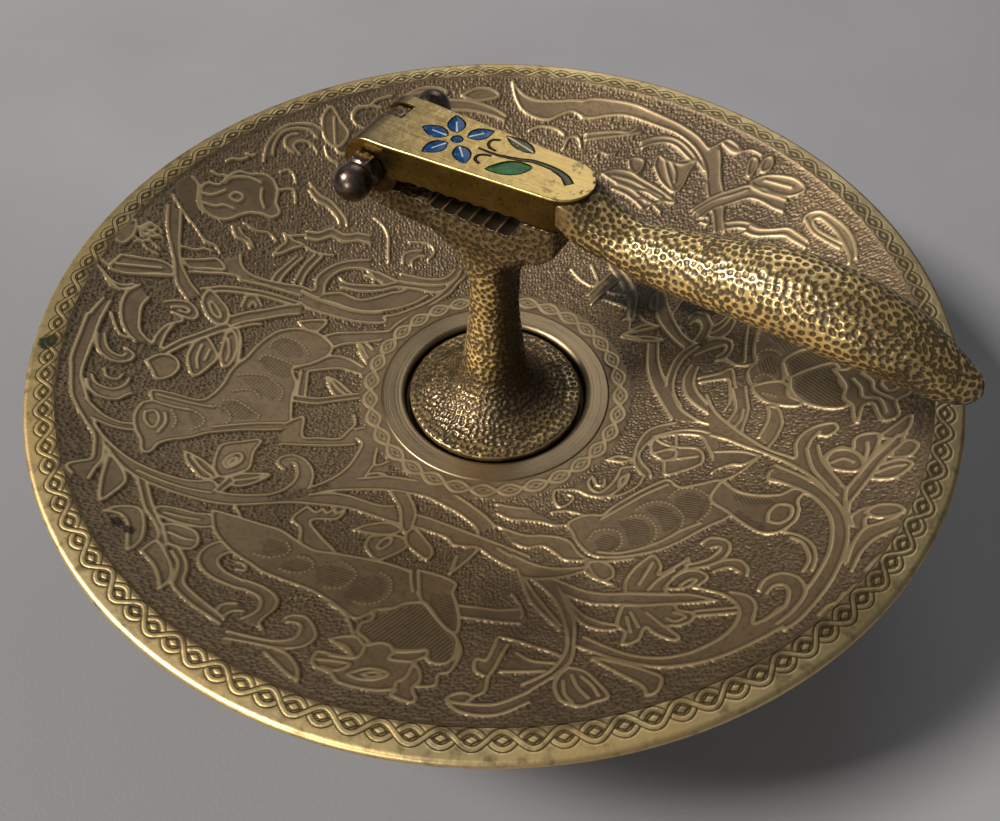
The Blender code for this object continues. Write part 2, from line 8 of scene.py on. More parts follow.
import bpy
import numpy as np
from mathutils import Matrix, Vector


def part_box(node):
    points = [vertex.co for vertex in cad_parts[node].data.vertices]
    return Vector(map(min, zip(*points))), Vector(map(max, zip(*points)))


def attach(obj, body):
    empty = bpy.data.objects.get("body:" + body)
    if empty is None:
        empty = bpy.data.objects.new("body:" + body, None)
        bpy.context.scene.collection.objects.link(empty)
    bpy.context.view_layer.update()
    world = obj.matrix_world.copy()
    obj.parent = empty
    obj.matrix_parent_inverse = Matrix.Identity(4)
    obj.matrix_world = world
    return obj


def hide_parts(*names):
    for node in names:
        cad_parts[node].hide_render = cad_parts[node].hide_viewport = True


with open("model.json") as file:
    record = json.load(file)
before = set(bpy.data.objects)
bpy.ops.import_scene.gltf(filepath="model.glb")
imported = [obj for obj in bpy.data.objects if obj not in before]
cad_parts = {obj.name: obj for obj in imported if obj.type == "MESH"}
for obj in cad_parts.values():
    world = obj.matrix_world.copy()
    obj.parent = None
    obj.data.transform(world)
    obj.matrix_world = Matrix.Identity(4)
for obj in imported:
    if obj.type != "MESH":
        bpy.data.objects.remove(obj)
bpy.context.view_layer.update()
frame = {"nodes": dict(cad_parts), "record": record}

# The photographer's view. The lever is swung a little against the picture, so the camera's place is
# given level with the picture and turned with it. The dish, its figure and the light use that turn too.
picture_turn = radians(31.4)
level_to_lever = Matrix.Rotation(picture_turn, 3, 'Z')
camera_place = level_to_lever @ Vector((-0.0009, -0.1999, 0.2648))
camera_heading = picture_turn - radians(0.66)
camera_tilt = radians(39.43)
camera_roll = radians(-0.27)
camera_data = bpy.data.cameras.new("camera")
camera_data.lens = 37.02
camera_data.sensor_width = 36
camera_data.sensor_fit = 'HORIZONTAL'
camera_data.clip_start = 0.01
camera = bpy.data.objects.new("camera", camera_data)
camera.matrix_world = (Matrix.Translation(camera_place) @ Matrix.Rotation(camera_heading, 4, 'Z')
                       @ Matrix.Rotation(camera_tilt, 4, 'X') @ Matrix.Rotation(camera_roll, 4, 'Z'))
bpy.context.scene.collection.objects.link(camera)
bpy.context.scene.camera = camera
bpy.context.scene.view_settings.view_transform = 'Standard'


# Plain grey table top and soft studio light: a broad lamp on the left, half-way up, a weak one behind
# and a low one in front, and a dim even room.
def new_material(name):
    """A node material, a maker of its nodes, a way to feed its shader, and each place on the object."""
    material = bpy.data.materials.new(name)
    material.use_nodes = True
    tree = material.node_tree
    shader = tree.nodes["Principled BSDF"]

    def node(kind, **settings):
        """Add a node and fill its named inputs, or link them when a socket is given."""
        made = tree.nodes.new("ShaderNode" + kind)
        for key, value in settings.items():
            if key in made.bl_rna.properties:
                setattr(made, key, value)
                continue
            socket = made.inputs[int(key[1:])] if key[1:].isdigit() else made.inputs[key.replace("_", " ")]
            if isinstance(value, bpy.types.NodeSocket):
                tree.links.new(value, socket)
            else:
                socket.default_value = value
        return made

    def feed(name, value):
        """Set one of the shader's inputs, or link a socket to it."""
        if isinstance(value, bpy.types.NodeSocket):
            tree.links.new(value, shader.inputs[name])
        else:
            shader.inputs[name].default_value = value

    return material, node, feed, node("TexCoord").outputs["Object"]


def blended(node, low, high, share):
    """Colour that goes from low to high as the share socket goes from 0 to 1."""
    mixed = node("Mix", data_type='RGBA', s0=share)
    for socket, colour in ((mixed.inputs[6], low), (mixed.inputs[7], high)):
        if isinstance(colour, bpy.types.NodeSocket):
            mixed.id_data.links.new(colour, socket)
        else:
            socket.default_value = (*colour, 1.0)
    return mixed.outputs[2]


def between(node, value, low, high, to_low=0.0, to_high=1.0):
    """Socket value brought from one range to another and held inside it."""
    return node("MapRange", clamp=True, s0=value, s1=low, s2=high, s3=to_low, s4=to_high).outputs[0]


def speckle(node, place, scale, detail=3.0, roughness=0.55):
    """Cloudy grey noise of the given scale."""
    return node("TexNoise", Vector=place, Scale=scale, Detail=detail, Roughness=roughness).outputs[0]


def bump(node, height, strength, distance, below=None):
    """Surface direction with fine relief from a grey height, laid on the relief below it if one is given."""
    more = {"Normal": below} if below else {}
    return node("Bump", Height=height, Strength=strength, Distance=distance, **more).outputs[0]


table_grey = (0.252, 0.249, 0.255)
table_half_width = 1.6
table, node, feed, place = new_material("table_top")
cloud = between(node, speckle(node, place, 9.0), 0.3, 0.7)
tone = blended(node, tuple(0.95 * c for c in table_grey), tuple(1.05 * c for c in table_grey), cloud)
# Painted shade: the table's colour darkens by up to 40 % towards the front left.
table_shade_way = level_to_lever @ Vector((-0.7, -0.7, 0.0))
near_left = node("VectorMath", operation='DOT_PRODUCT', s0=place, s1=table_shade_way).outputs["Value"]
table_painted_shade = between(node, near_left, 0.0, 0.20)
feed("Base Color", blended(node, tone, tuple(0.60 * c for c in table_grey), table_painted_shade))
feed("Roughness", 0.55)
feed("Normal", bump(node, speckle(node, place, 900.0), 0.15, 0.0003))
table_mesh = bpy.data.meshes.new("table")
w = table_half_width
table_mesh.from_pydata([(-w, -w, 0), (w, -w, 0), (w, w, 0), (-w, w, 0)], [], [(0, 1, 2, 3)])
table_mesh.materials.append(table)
table_object = bpy.data.objects.new("table", table_mesh)
bpy.context.scene.collection.objects.link(table_object)

room = bpy.data.worlds.new("room")
bpy.context.scene.world = room
room.use_nodes = True
room.node_tree.nodes["Background"].inputs["Color"].default_value = (0.93, 0.96, 1.0, 1)
room.node_tree.nodes["Background"].inputs["Strength"].default_value = 0.12


def lamp(name, towards, distance, size, power, colour):
    """A square lamp that shines on the dish from a direction given level with the picture."""
    data = bpy.data.lights.new(name, 'AREA')
    data.size = size
    data.energy = power
    data.color = colour
    made = bpy.data.objects.new(name, data)
    direction = (level_to_lever @ Vector(towards)).normalized()
    made.location = direction * distance + Vector((0, 0, 0.06))
    made.rotation_euler = direction.to_track_quat('Z', 'Y').to_euler()
    bpy.context.scene.collection.objects.link(made)


lamp("key_lamp", (-58, -12, 60), 3.2, 0.74, 146.0, (1.0, 0.96, 0.92))
lamp("window_lamp", (16, 60, 55), 1.8, 0.8, 4.0, (0.93, 0.96, 1.0))
lamp("low_lamp", (-48, -80, 30), 2.0, 0.30, 11.0, (1.0, 0.93, 0.84))

# The dish: brass sheet, spun to a shallow bowl with a round well for the post, chased by hand with
# scrolling vines and beasts on a matted ground, darkened, and rubbed bright where it stands proud.
rim_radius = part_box("dish")[1].x
rim_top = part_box("dish")[1].z
rim_bead = 0.0012
sheet = 0.0012
border_inner = 0.117
seat_top = 0.0320
seat_radius = 0.0340
well_radius = 0.0269
well_floor = 0.0290
well_shoulder = 0.0018
stud_hole = 0.0033
bowl_curve = 1.6

cell = 0.00015
raster_half = 0.126
raster_count = int(2 * raster_half / cell)


def bowl_height(radius):
    """Height of the bowl's face: flat on the seat, then rising with a power of the way to the border."""
    share = np.clip((radius - seat_radius) / (border_inner - seat_radius), 0, 1)
    return seat_top + (rim_top - seat_top) * share ** bowl_curve


def empty_layer():
    """A square sheet of zeros over the whole dish, one number to each small cell."""
    return np.zeros((raster_count, raster_count), np.float32)


ridge = empty_layer()
groove = empty_layer()
matting = np.ones_like(ridge)


def through(points, step=0.0002):
    """Close points on a smooth curve through the given ones, in millimetres on the way in.

    Each stretch is a cubic that leaves and arrives along the chord of its neighbours, and a point
    given twice makes a corner.
    """
    knots = np.array(points, float)
    knots = np.vstack([knots[:1], knots, knots[-1:]])
    knots[:, :2] *= 0.001
    if knots.shape[1] > 2:
        knots[:, 2] *= 0.001
    pieces = []
    for p0, p1, p2, p3 in zip(knots, knots[1:], knots[2:], knots[3:]):
        length = np.hypot(*(p2 - p1)[:2])
        if length < 1e-7:
            continue
        t = np.linspace(0, 1, max(int(length / step), 2), endpoint=False)[:, None]
        pieces.append(0.5 * (2 * p1 + (p2 - p0) * t + (2 * p0 - 5 * p1 + 4 * p2 - p3) * t ** 2
                             + (3 * p1 - p0 - 3 * p2 + p3) * t ** 3))
    return np.vstack(pieces + [knots[-1:]])


def stamp(layer, points, half_width, sharpness=0.5):
    """Lay a rounded bead along close points: 1 in the middle, down to 0 at the half width.

    Every point raises the cells round it to (1 - (distance / half width) squared) to a power, and the
    highest value stays.
    """
    half_width = np.broadcast_to(half_width, len(points))
    reach = int(np.ceil(half_width.max() / cell)) + 1
    near = np.arange(-reach, reach + 1)
    middle = np.rint((points[:, :2] + raster_half) / cell).astype(int)
    columns = middle[:, 0, None, None] + near[None, None, :]
    rows = middle[:, 1, None, None] + near[None, :, None]
    away = ((columns * cell - raster_half - points[:, 0, None, None]) ** 2
            + (rows * cell - raster_half - points[:, 1, None, None]) ** 2)
    value = np.clip(1 - away / half_width[:, None, None] ** 2, 0, 1) ** sharpness
    rows, columns = np.broadcast_arrays(rows, columns)
    inside = (value > 0) & (rows >= 0) & (rows < raster_count) & (columns >= 0) & (columns < raster_count)
    np.maximum.at(layer, (rows[inside], columns[inside]), value[inside])


def covered(outline):
    """Which cells lie inside a closed outline, counted by how often a row crosses it."""
    outline = (outline + raster_half) / cell
    left, low = np.floor(outline.min(axis=0)).astype(int)
    right, high = np.ceil(outline.max(axis=0)).astype(int) + 1
    toggles = np.zeros((high - low, right - left + 1), np.int32)
    for (ax, ay), (bx, by) in zip(outline, np.roll(outline, -1, axis=0)):
        rows = np.arange(int(np.ceil(min(ay, by))), int(np.ceil(max(ay, by))))
        if len(rows):
            x = ax + (bx - ax) * (rows - ay) / (by - ay)
            np.add.at(toggles, (rows - low, np.ceil(x).astype(int) - left), 1)
    mask = np.zeros(ridge.shape, bool)
    mask[low:high, left:right] = (np.cumsum(toggles, axis=1)[:, :-1] % 2).astype(bool)
    return mask


line_half = 0.00051


def clear_under(mask):
    """Take away what lies under a new form, so that forms overlap as laid one on another."""
    ridge[mask] = 0
    groove[mask] = 0
    matting[mask] = 0


def line(points, half_width=line_half):
    """A raised line through the points."""
    stamp(ridge, through(points), half_width)


def band(points, half_width=line_half):
    """A smooth flat band between two raised lines. Each point gives x, y and half the band's width."""
    path = through(points)
    cover = empty_layer()
    stamp(cover, path[::3], np.maximum(path[::3, 2], half_width), 1)
    clear_under(cover > 0)
    along = np.gradient(path[:, :2], axis=0)
    along /= np.maximum(np.linalg.norm(along, axis=1), 1e-12)[:, None]
    side = np.column_stack([-along[:, 1], along[:, 0]]) * path[:, 2:3]
    stamp(ridge, path[:, :2] + side, half_width)
    stamp(ridge, path[:, :2] - side, half_width)


def form(points, half_width=line_half):
    """A closed smooth form with a raised outline."""
    outline = through(list(points) + [points[0]])
    clear_under(covered(outline[:, :2]))
    stamp(ridge, outline, half_width)


def strap(one, other, half_width=line_half):
    """A smooth flat strap between two edges, each with a raised line along it."""
    first, second = through(one), through(other)
    clear_under(covered(np.vstack([first[:, :2], second[::-1, :2]])))
    stamp(ridge, first, half_width)
    stamp(ridge, second, half_width)


def beads(points, pitch=1.2, radius=0.00046):
    """A row of round beads along a path."""
    path = through(points)
    run = np.concatenate([[0], np.cumsum(np.hypot(*np.diff(path[:, :2], axis=0).T))])
    stops = np.arange(0, run[-1], pitch * 0.001)
    dots = np.column_stack([np.interp(stops, run, path[:, 0]), np.interp(stops, run, path[:, 1])])
    stamp(ridge, dots, radius)


def strokes(points, degrees, pitch=1.1):
    """Fine cut lines side by side inside a closed outline, at an angle to the picture's level."""
    outline = through(list(points) + [points[0]])
    mask = covered(outline[:, :2])
    rows, columns = np.nonzero(mask)
    across = (-columns * sin(radians(degrees)) + rows * cos(radians(degrees))) * cell
    wave = 0.5 + 0.5 * np.cos(2 * pi * across / (pitch * 0.001))
    groove[rows, columns] = np.maximum(groove[rows, columns], wave ** 1.5)
    matting[rows, columns] = 0


# Far left at the back: a beast's head with its mane, under a great curled leaf.
strap([(-74.4, 77.6), (-74, 82), (-72.4, 86.4), (-69.4, 90.4), (-65.8, 92.8), (-60, 94), (-56.8, 93)],
      [(-71.8, 80.6), (-71.6, 83.6), (-70.2, 87.4), (-68.2, 89.8), (-64.4, 91.6), (-60.6, 91.8), (-58, 90)])
strap([(-65.4, 83), (-67.8, 84.4), (-68.2, 86.8), (-66.8, 88.8), (-64.4, 89.8)],
      [(-63.4, 83), (-65.4, 85), (-64.8, 86.8), (-62.4, 87.8), (-59.8, 87.4), (-58, 85.4)])
form([(-91.6, 62.6), (-90, 64.4), (-87.2, 64.8), (-85.6, 66.8), (-84, 69.4), (-81.2, 71.6), (-78.2, 71.8),
      (-74, 73), (-71, 71.8), (-69.6, 68.6), (-69.8, 64.4), (-68.6, 61.2), (-70.8, 58.8), (-73.8, 59),
      (-77.2, 58.4), (-80, 56.6), (-82.8, 54.2), (-85.6, 53), (-88.4, 53.6), (-90.8, 55.4), (-91.8, 59.4)])
line([(-85.2, 66.2), (-84, 68.2), (-81, 69.8), (-77.8, 70.4), (-74.8, 69.8)])
form([(-83.6, 62), (-82.2, 63.8), (-80.2, 63.8), (-79.8, 62.6), (-81.2, 61), (-82.8, 61.2)])
line([(-91.4, 60.2), (-89, 60.4), (-86.8, 62), (-85, 63.6)])
line([(-90.4, 57), (-87.6, 57), (-84.8, 58.4), (-82, 58)])
line([(-74.4, 67.8), (-74.4, 64.4), (-73.2, 61.4)])
strokes([(-74, 70.8), (-71.2, 70.2), (-70.6, 64.8), (-72.2, 61.4), (-73.6, 64.6)], -38, 0.85)
strokes([(-98.8, 61.4), (-94.6, 65.2), (-91.6, 63.8), (-91.2, 55.4), (-93.2, 50.2), (-95.8, 53.4),
         (-98.4, 58)], -38, 0.85)
line([(-94.6, 64.6), (-92.6, 62.6), (-92.4, 57.6), (-91.4, 54.6), (-88.4, 53.6)])
line([(-99, 56.2), (-96.8, 53), (-94.2, 49.8), (-92.4, 48.2)])
line([(-85.4, 73.8), (-83.8, 75.2), (-81.4, 75.8), (-79.4, 77.2)])
line([(-89.4, 68.8), (-87.6, 68.2), (-85.6, 68.8)])
line([(-79.8, 78.6), (-78.4, 78.2), (-77.2, 78.8)])
line([(-69.2, 75.4), (-66.8, 76.8), (-65, 75.6), (-64.2, 73)])
line([(-69.6, 68.6), (-67.2, 70), (-64.6, 70), (-64, 66)])
line([(-105.8, 39.2), (-104.6, 42), (-103.2, 43.4), (-101.6, 43.2), (-100.4, 41.8)])
line([(-105, 38.2), (-103.4, 40.4), (-101.4, 40.6), (-100, 40)])
line([(-103.6, 38.2), (-101.8, 36.8), (-100.4, 36)])
line([(-107.8, 37.6), (-105.4, 36.4), (-103.2, 34.6), (-100.4, 33.8)])
strap([(-110, 28.4), (-106.6, 30.2), (-102.2, 30.8), (-99.4, 30)],
      [(-114, 25.4), (-110.6, 23.6), (-107.6, 23.6), (-101.8, 25.4), (-96, 27.8)])
strap([(-112.2, 20.4), (-110.2, 18.4), (-107.8, 17.2), (-105.4, 18.6)],
      [(-114.4, 22.8), (-112.8, 21.6), (-110, 19.2), (-107.4, 19), (-105, 20.6)])
line([(-78.6, 54.2), (-75, 52.6), (-71.4, 53), (-68.8, 50.8)])
line([(-80, 49.4), (-77, 49), (-75.4, 46.6)])
form([(-66.8, 54.4), (-63.6, 52.4), (-60.8, 51.6), (-64.2, 49.2), (-67, 46.8), (-69.4, 45.6), (-67.6, 49),
      (-66, 51.4)])
line([(-60.8, 51.6), (-56.6, 49.8), (-51.4, 50)])
line([(-65, 53.8), (-59.6, 55.6), (-55.2, 57), (-51.8, 60.2)])
strap([(-62.6, 47), (-65.4, 43), (-67.8, 39.4), (-69, 36.4)],
      [(-60.8, 46.8), (-63.6, 42.8), (-65.6, 39.2), (-66.8, 36.2)])
strap([(-57.2, 48.8), (-60, 44.4), (-61.8, 39.8), (-62.6, 37)],
      [(-54.8, 48.8), (-57.6, 44.4), (-59.4, 40.8), (-60.2, 37.4)])
line([(-96.2, 37.8), (-94.2, 39.4), (-91.4, 39.6), (-88.8, 41), (-86.6, 41)])
line([(-93.4, 33.2), (-92.6, 35.6), (-90.4, 35.8), (-88.8, 36.8)])
line([(-89, 43.2), (-87.2, 43.2), (-85.4, 43)])
# Behind the hinge: a folded leaf, and the curls between the ball nut and the seat.
form([(-54.7, 101.2), (-52.9, 100.6), (-50.6, 97.1), (-48.2, 94.1), (-49.4, 90.6), (-52.1, 88.2),
      (-55.3, 90), (-56.5, 93.5), (-56.5, 97.6)])
line([(-55.6, 88), (-55.3, 86.2), (-54.1, 84.1), (-51.2, 82.6)])
line([(-52.9, 98.2), (-52.6, 92.9), (-52.1, 88.2), (-50.6, 86.5), (-47.1, 86.5)])
line([(-47.1, 98.8), (-45.3, 102.4), (-41.2, 104.1), (-37.6, 104.1)])
strap([(-60, 74.1), (-56.5, 70.6), (-53.5, 69.4), (-50.6, 67.1), (-48.2, 64.1), (-47.6, 61.8)],
      [(-60, 71.4), (-57.4, 68.4), (-54, 67), (-51.2, 64.4), (-50, 62)])
strap([(-60, 56.8), (-56.5, 57.1), (-52.4, 59.4), (-48.2, 58.2), (-44.1, 59.4), (-40, 59.4)],
      [(-60, 54.4), (-56.5, 54.4), (-52.4, 56.6), (-48.2, 55.6), (-44.1, 56.8), (-40, 56.4)])
line([(-39, 66), (-36, 63.4), (-34.4, 60), (-34.2, 55), (-34, 50.6)])
strap([(-29.4, 50.6), (-29.4, 53.5), (-27.1, 55.3), (-23.5, 55.9)],
      [(-26.4, 50.2), (-26.4, 52), (-24.6, 53.4), (-22.4, 53.8)])
line([(-27.6, 58.8), (-22.4, 58.8), (-20, 57.6), (-19.4, 55.3), (-21.2, 52.9)])
# Far right at the back: the great vine's arc that turns down as a second trunk, its buds and leaves.
strap([(31.4, 106.2), (35.4, 106.4), (42.2, 104.6), (48.8, 102), (53.8, 98.8), (60.2, 94.2), (64.4, 90.6),
       (68.6, 86), (71.8, 80.8), (74, 81.2)],
      [(31.2, 100.8), (35.2, 100.2), (39.2, 100.2), (44, 99.6), (47.8, 98.2), (52.4, 95.6), (56.8, 92.8),
       (61.2, 89.8), (64.8, 86.2), (67.8, 81.8), (69.6, 77), (70.2, 72.6), (70.4, 68.4), (70.6, 64)])
strap([(32.4, 95.4), (37.8, 95), (42.4, 94.4), (46.4, 93.4), (49.4, 94.2)],
      [(32.2, 93.4), (37.6, 93.2), (42.4, 92.8), (47, 92.4), (50.6, 92.4)])
strap([(50.4, 89.2), (54.6, 89.6), (59.2, 88.6), (62.8, 86.2), (65.8, 82.2), (68, 77.6), (69.4, 74)],
      [(50.6, 87.2), (54.6, 87.6), (58.8, 86.8), (61.8, 84.6), (64.2, 81.2), (66.2, 78.2)])
strap([(71.8, 80.8), (74, 81.2), (75.8, 81.8)],
      [(70, 69.2), (70.2, 64.2), (72.4, 63.2), (74.4, 64.2), (74.2, 69.2), (74.4, 72.6), (74.8, 76),
       (74.8, 79.4)])
form([(75.8, 81.8), (77.8, 81.8), (80, 79.4), (81.2, 76.4), (79.2, 76.8), (77.2, 79)])
line([(76.4, 80.6), (78.6, 78.4), (80.6, 76.6)])
form([(84.2, 73.4), (85.6, 72), (85, 69.4), (83, 67.2), (82.2, 68.4), (83, 71.6)])
line([(81.2, 76.4), (84.4, 75.8), (87, 73.2)])
form([(86.2, 68.8), (87.6, 71.2), (89.8, 71.2), (89.8, 68.8), (88.6, 67.2), (86.6, 67.2)])
form([(83, 65.2), (87, 65.6), (91.6, 63.8), (95.8, 60.4), (97.6, 56), (93.6, 55.6), (89.2, 58.4),
      (86.6, 61.2), (83.8, 63)])
line([(87, 64.2), (90.8, 61.2), (94.2, 58.4)])
strap([(64.6, 61.6), (68.2, 63), (71.8, 64), (76.8, 64.4), (82, 64.2), (83.8, 62.4), (86.4, 59.8),
       (90, 56.8), (92.2, 54.8)],
      [(67, 58), (70.8, 59.6), (74.6, 59.8), (80, 60), (82.8, 59.4), (85.6, 57), (88.2, 53.8), (90.8, 51.2)])
line([(65.4, 60.4), (71.8, 62.6), (77.8, 62.6), (82, 62.8)])
strap([(73.4, 53.8), (78, 52.8), (81.4, 50.8), (84, 47.8), (87.8, 45.8), (92.8, 43.2)],
      [(73.8, 51.4), (77.8, 50.6), (80.6, 48.8), (83.2, 46.2), (87.6, 43.8), (92.4, 41.6)])
strap([(70.8, 59.6), (71, 56), (70.8, 51.6)],
      [(74.2, 59.8), (73.6, 55.8), (73.6, 50.6)])
line([(67.6, 57.8), (69.4, 57.2), (69, 55), (67, 56.4)])
form([(37.2, 81), (41.8, 81.4), (46.4, 79.6), (50, 76.4), (54.4, 72.4), (58.8, 67.4), (59.6, 65.6),
      (55.2, 67.8), (51, 71.6), (47.2, 73.4), (41.6, 77.2)])
line([(40.4, 79.6), (46.2, 76.8), (51.2, 72.8), (56, 68.6)])
strap([(41.6, 76.6), (45.4, 74.4), (48.2, 71.6), (51, 68)],
      [(40.2, 75.2), (44, 72.6), (46.8, 69.8), (49.4, 66.4)])
form([(46, 84), (48.2, 84.2), (50.8, 82.8), (50.2, 80.4), (47.8, 78.8), (46.4, 80.8)])
form([(54.2, 80), (55.6, 83.2), (57.6, 81.4), (59.6, 80), (63.4, 78), (67.2, 78.2), (64.8, 75), (62.4, 70.8),
      (59.8, 69.4), (57.2, 72.2), (55.4, 75.6)])
line([(57.6, 81.4), (58, 77.6), (58.8, 73.2), (59.8, 69.6)])
line([(59.6, 80), (60.6, 76.2), (60.2, 72.8)])
line([(35.4, 87.4), (36.8, 88.6), (39.4, 87.2), (42, 87.2)])
line([(47, 69.4), (50, 69.4), (52.6, 67), (55, 63.6)])
line([(51.4, 66), (53.4, 67), (55.8, 66.8)])
line([(68.2, 49.6), (71.6, 49), (75, 47.2)])
# Behind the block: the great vine springs from a hooked leaf, and a thinner bough runs back to the hinge.
strap([(7.6, 115), (9.5, 112.4), (12, 110), (16, 108.2), (22, 107.4), (28, 107), (31.6, 106.3)],
      [(7.6, 115), (8.6, 110), (11, 105.6), (15.5, 102.6), (20, 101.6), (24, 102.8), (28, 103.4),
       (31.6, 101)])
band([(-36, 101, 1), (-28, 104.6, 1.5), (-18, 106.8, 1.7), (-8, 107.2, 1.5), (0, 105.4, 1.2), (5, 103, 0.8)])
form([(-30, 108.6), (-25, 111.6), (-19, 112.6), (-15, 111.2), (-20, 109.4), (-26, 108)])
line([(-28, 109.4), (-22, 111), (-17, 111.2)])
form([(-22, 103.4), (-17, 103.2), (-12, 101.2), (-9, 98.2), (-14, 98.4), (-19, 100.6)])
line([(-20, 102.6), (-15, 101), (-11, 99)])
form([(-10, 110.4), (-5, 112.8), (0, 112.6), (3, 110.4), (-2, 109.2), (-6, 109)])
line([(-42, 103.5), (-38.6, 106.6), (-34, 108.4)])
line([(-45, 103.5), (-47, 100.6), (-46, 97.5), (-42.5, 96)])
line([(-38, 97), (-34, 99.4), (-29, 100), (-25, 98)])
line([(13, 98.6), (17, 99.6), (22, 98.4), (25, 96)])
line([(24.6, 91.6), (26.6, 94.8), (29.6, 94.4), (30.4, 91.4)])
# Left and behind the beast: boughs, buds and long leaves up to the rim.
strap([(-100, 52), (-99.4, 44.7), (-97.6, 38.2), (-95.9, 32.4), (-94.7, 26.5), (-92.9, 23.5), (-90.6, 20.6)],
      [(-96.5, 52), (-95.9, 44.1), (-95.3, 38.2), (-94.1, 32.9), (-91.2, 27.6), (-88.2, 24.1)])
strap([(-78.8, 42.4), (-78.2, 39.4), (-76.5, 37.1), (-73.5, 35.9), (-68.8, 35.6), (-60, 36.2)],
      [(-91.8, 31.2), (-87.1, 32.6), (-82.4, 34.1), (-78.2, 34.4), (-77.6, 33.4), (-70, 33.6), (-60, 32.8)])
strap([(-88, 26.4), (-85.3, 27.8), (-82.4, 29.3), (-77.6, 30.4), (-70, 31.2), (-60, 30.2)],
      [(-85.3, 26), (-82.4, 27.4), (-77.6, 28.6), (-70, 29.4), (-60, 28.4)])
strap([(-80, 18.2), (-75.3, 21.8), (-70, 24.7), (-64.7, 27.6), (-60, 29.4)],
      [(-78.8, 15.3), (-75.3, 18.2), (-70, 21.2), (-64.7, 24.1), (-60, 25.9)])
line([(-77.4, 15), (-73, 18), (-70.4, 19)])
strap([(-76.5, 24.1), (-75.9, 26.8), (-75.3, 28.2), (-72.9, 28.7), (-71, 25.9)],
      [(-74.4, 24.6), (-73.6, 26.4), (-72.4, 25.4)])
form([(-109.4, 29.4), (-105.3, 30.2), (-100, 31.8), (-96.5, 31), (-95.9, 28.2), (-100, 26.8), (-104.1, 24.7),
      (-108.2, 23.2), (-111.4, 23.7)])
line([(-110, 25.6), (-105, 27.4), (-99, 29.4)])
form([(-94.3, 34.7), (-88.8, 37), (-85, 38.6), (-82.6, 35.8), (-87, 34.2), (-91.6, 32.8)])
form([(-87.1, 21.2), (-86.8, 24.7), (-85.3, 26.5), (-82.4, 24.1), (-80, 21.2), (-79.7, 17.1), (-81.8, 15.1),
      (-84.9, 17.1)])
form([(-85.3, 21.8), (-84.4, 22.6), (-82, 19.6), (-81.8, 17.4), (-83.8, 18.6)])
strap([(-96.5, 17.9), (-93.5, 19.6), (-90, 19.9), (-87.7, 17.1), (-88.6, 14.5), (-92.4, 14.5), (-94.1, 15)],
      [(-94.5, 16.7), (-91.6, 17.8), (-90, 17.4), (-90.4, 16.2), (-92.4, 16.2)])
strap([(-94.1, 15), (-91, 13), (-94.5, 10), (-96.5, 5.3), (-97, 1.4)],
      [(-92.8, 11.4), (-94.4, 6.4), (-94.9, 1.4)])
strap([(-94.3, 0.4), (-90.6, 5.7), (-86.5, 9.8), (-82.4, 13.9), (-79.4, 16)],
      [(-93, -0.6), (-89.4, 4.2), (-85.3, 8.4), (-81.2, 12.2), (-78.2, 14.6), (-76.5, 14.9), (-75.2, 11.2),
       (-74.9, 5.3), (-75.4, 0)])
form([(-79.4, 12.4), (-77.4, 13.6), (-76, 8.8), (-76.5, 2.9), (-78.2, 0), (-79.8, 4.1)])
line([(-78.6, 10.6), (-77.8, 6), (-78, 2.4)])
form([(-87.1, 5.7), (-87.9, 0), (-85.3, -6), (-81.8, -0.6), (-80.6, 2.9), (-82.4, 7), (-84.6, 9)])
line([(-85, 6), (-85.6, 1), (-84.8, -3)])
line([(-82.8, 5), (-83.6, 0.6)])
strap([(-110, -0.6), (-108.8, -5.9), (-105.3, -8.6), (-101.8, -7.6), (-100.4, -4.6), (-102.9, -2.6)],
      [(-108.4, 0), (-107.1, -4.1), (-105.3, -5.9), (-103, -6.1), (-102.4, -4.7)])
strap([(-110.9, 12.4), (-112.9, 5.3), (-113.5, -2.9), (-113.8, -10)],
      [(-109.2, 12), (-110.2, 5), (-110.4, -2), (-110.6, -10)])
strap([(-100.6, 17.6), (-101.8, 13.5), (-101.5, 8.8), (-100.6, 4.7), (-97.2, 1.4)],
      [(-103.4, 21), (-106.2, 16.4), (-106.4, 10), (-104.4, 4), (-101, 0.4)])
form([(-97.4, -5), (-94.6, -1.6), (-91, -1.2), (-89.4, -4.2), (-90.6, -8), (-93.6, -10.6), (-95.4, -8)])
line([(-106.2, 41), (-104.2, 43.8), (-102.2, 43), (-103, 41.4), (-106.2, 40.4), (-104, 39), (-101, 40)])
line([(-106.8, 35.6), (-103.2, 37.4), (-100.2, 36)])
line([(-92, 47.6), (-89, 44), (-86.2, 43.4), (-84.4, 41.2)])
strap([(-82, 52), (-80.4, 48.6), (-77.4, 47.6), (-76, 45.6)],
      [(-80, 52), (-78.6, 50)])
form([(-111, 40), (-107.6, 43), (-107.4, 38), (-109.6, 33.6), (-112, 35)])
line([(-112, 20.6), (-110.2, 17.6), (-107.8, 16.8)])
line([(-108.4, 8), (-106.8, 4.4), (-104.8, 1.4), (-101.6, 1.2)])
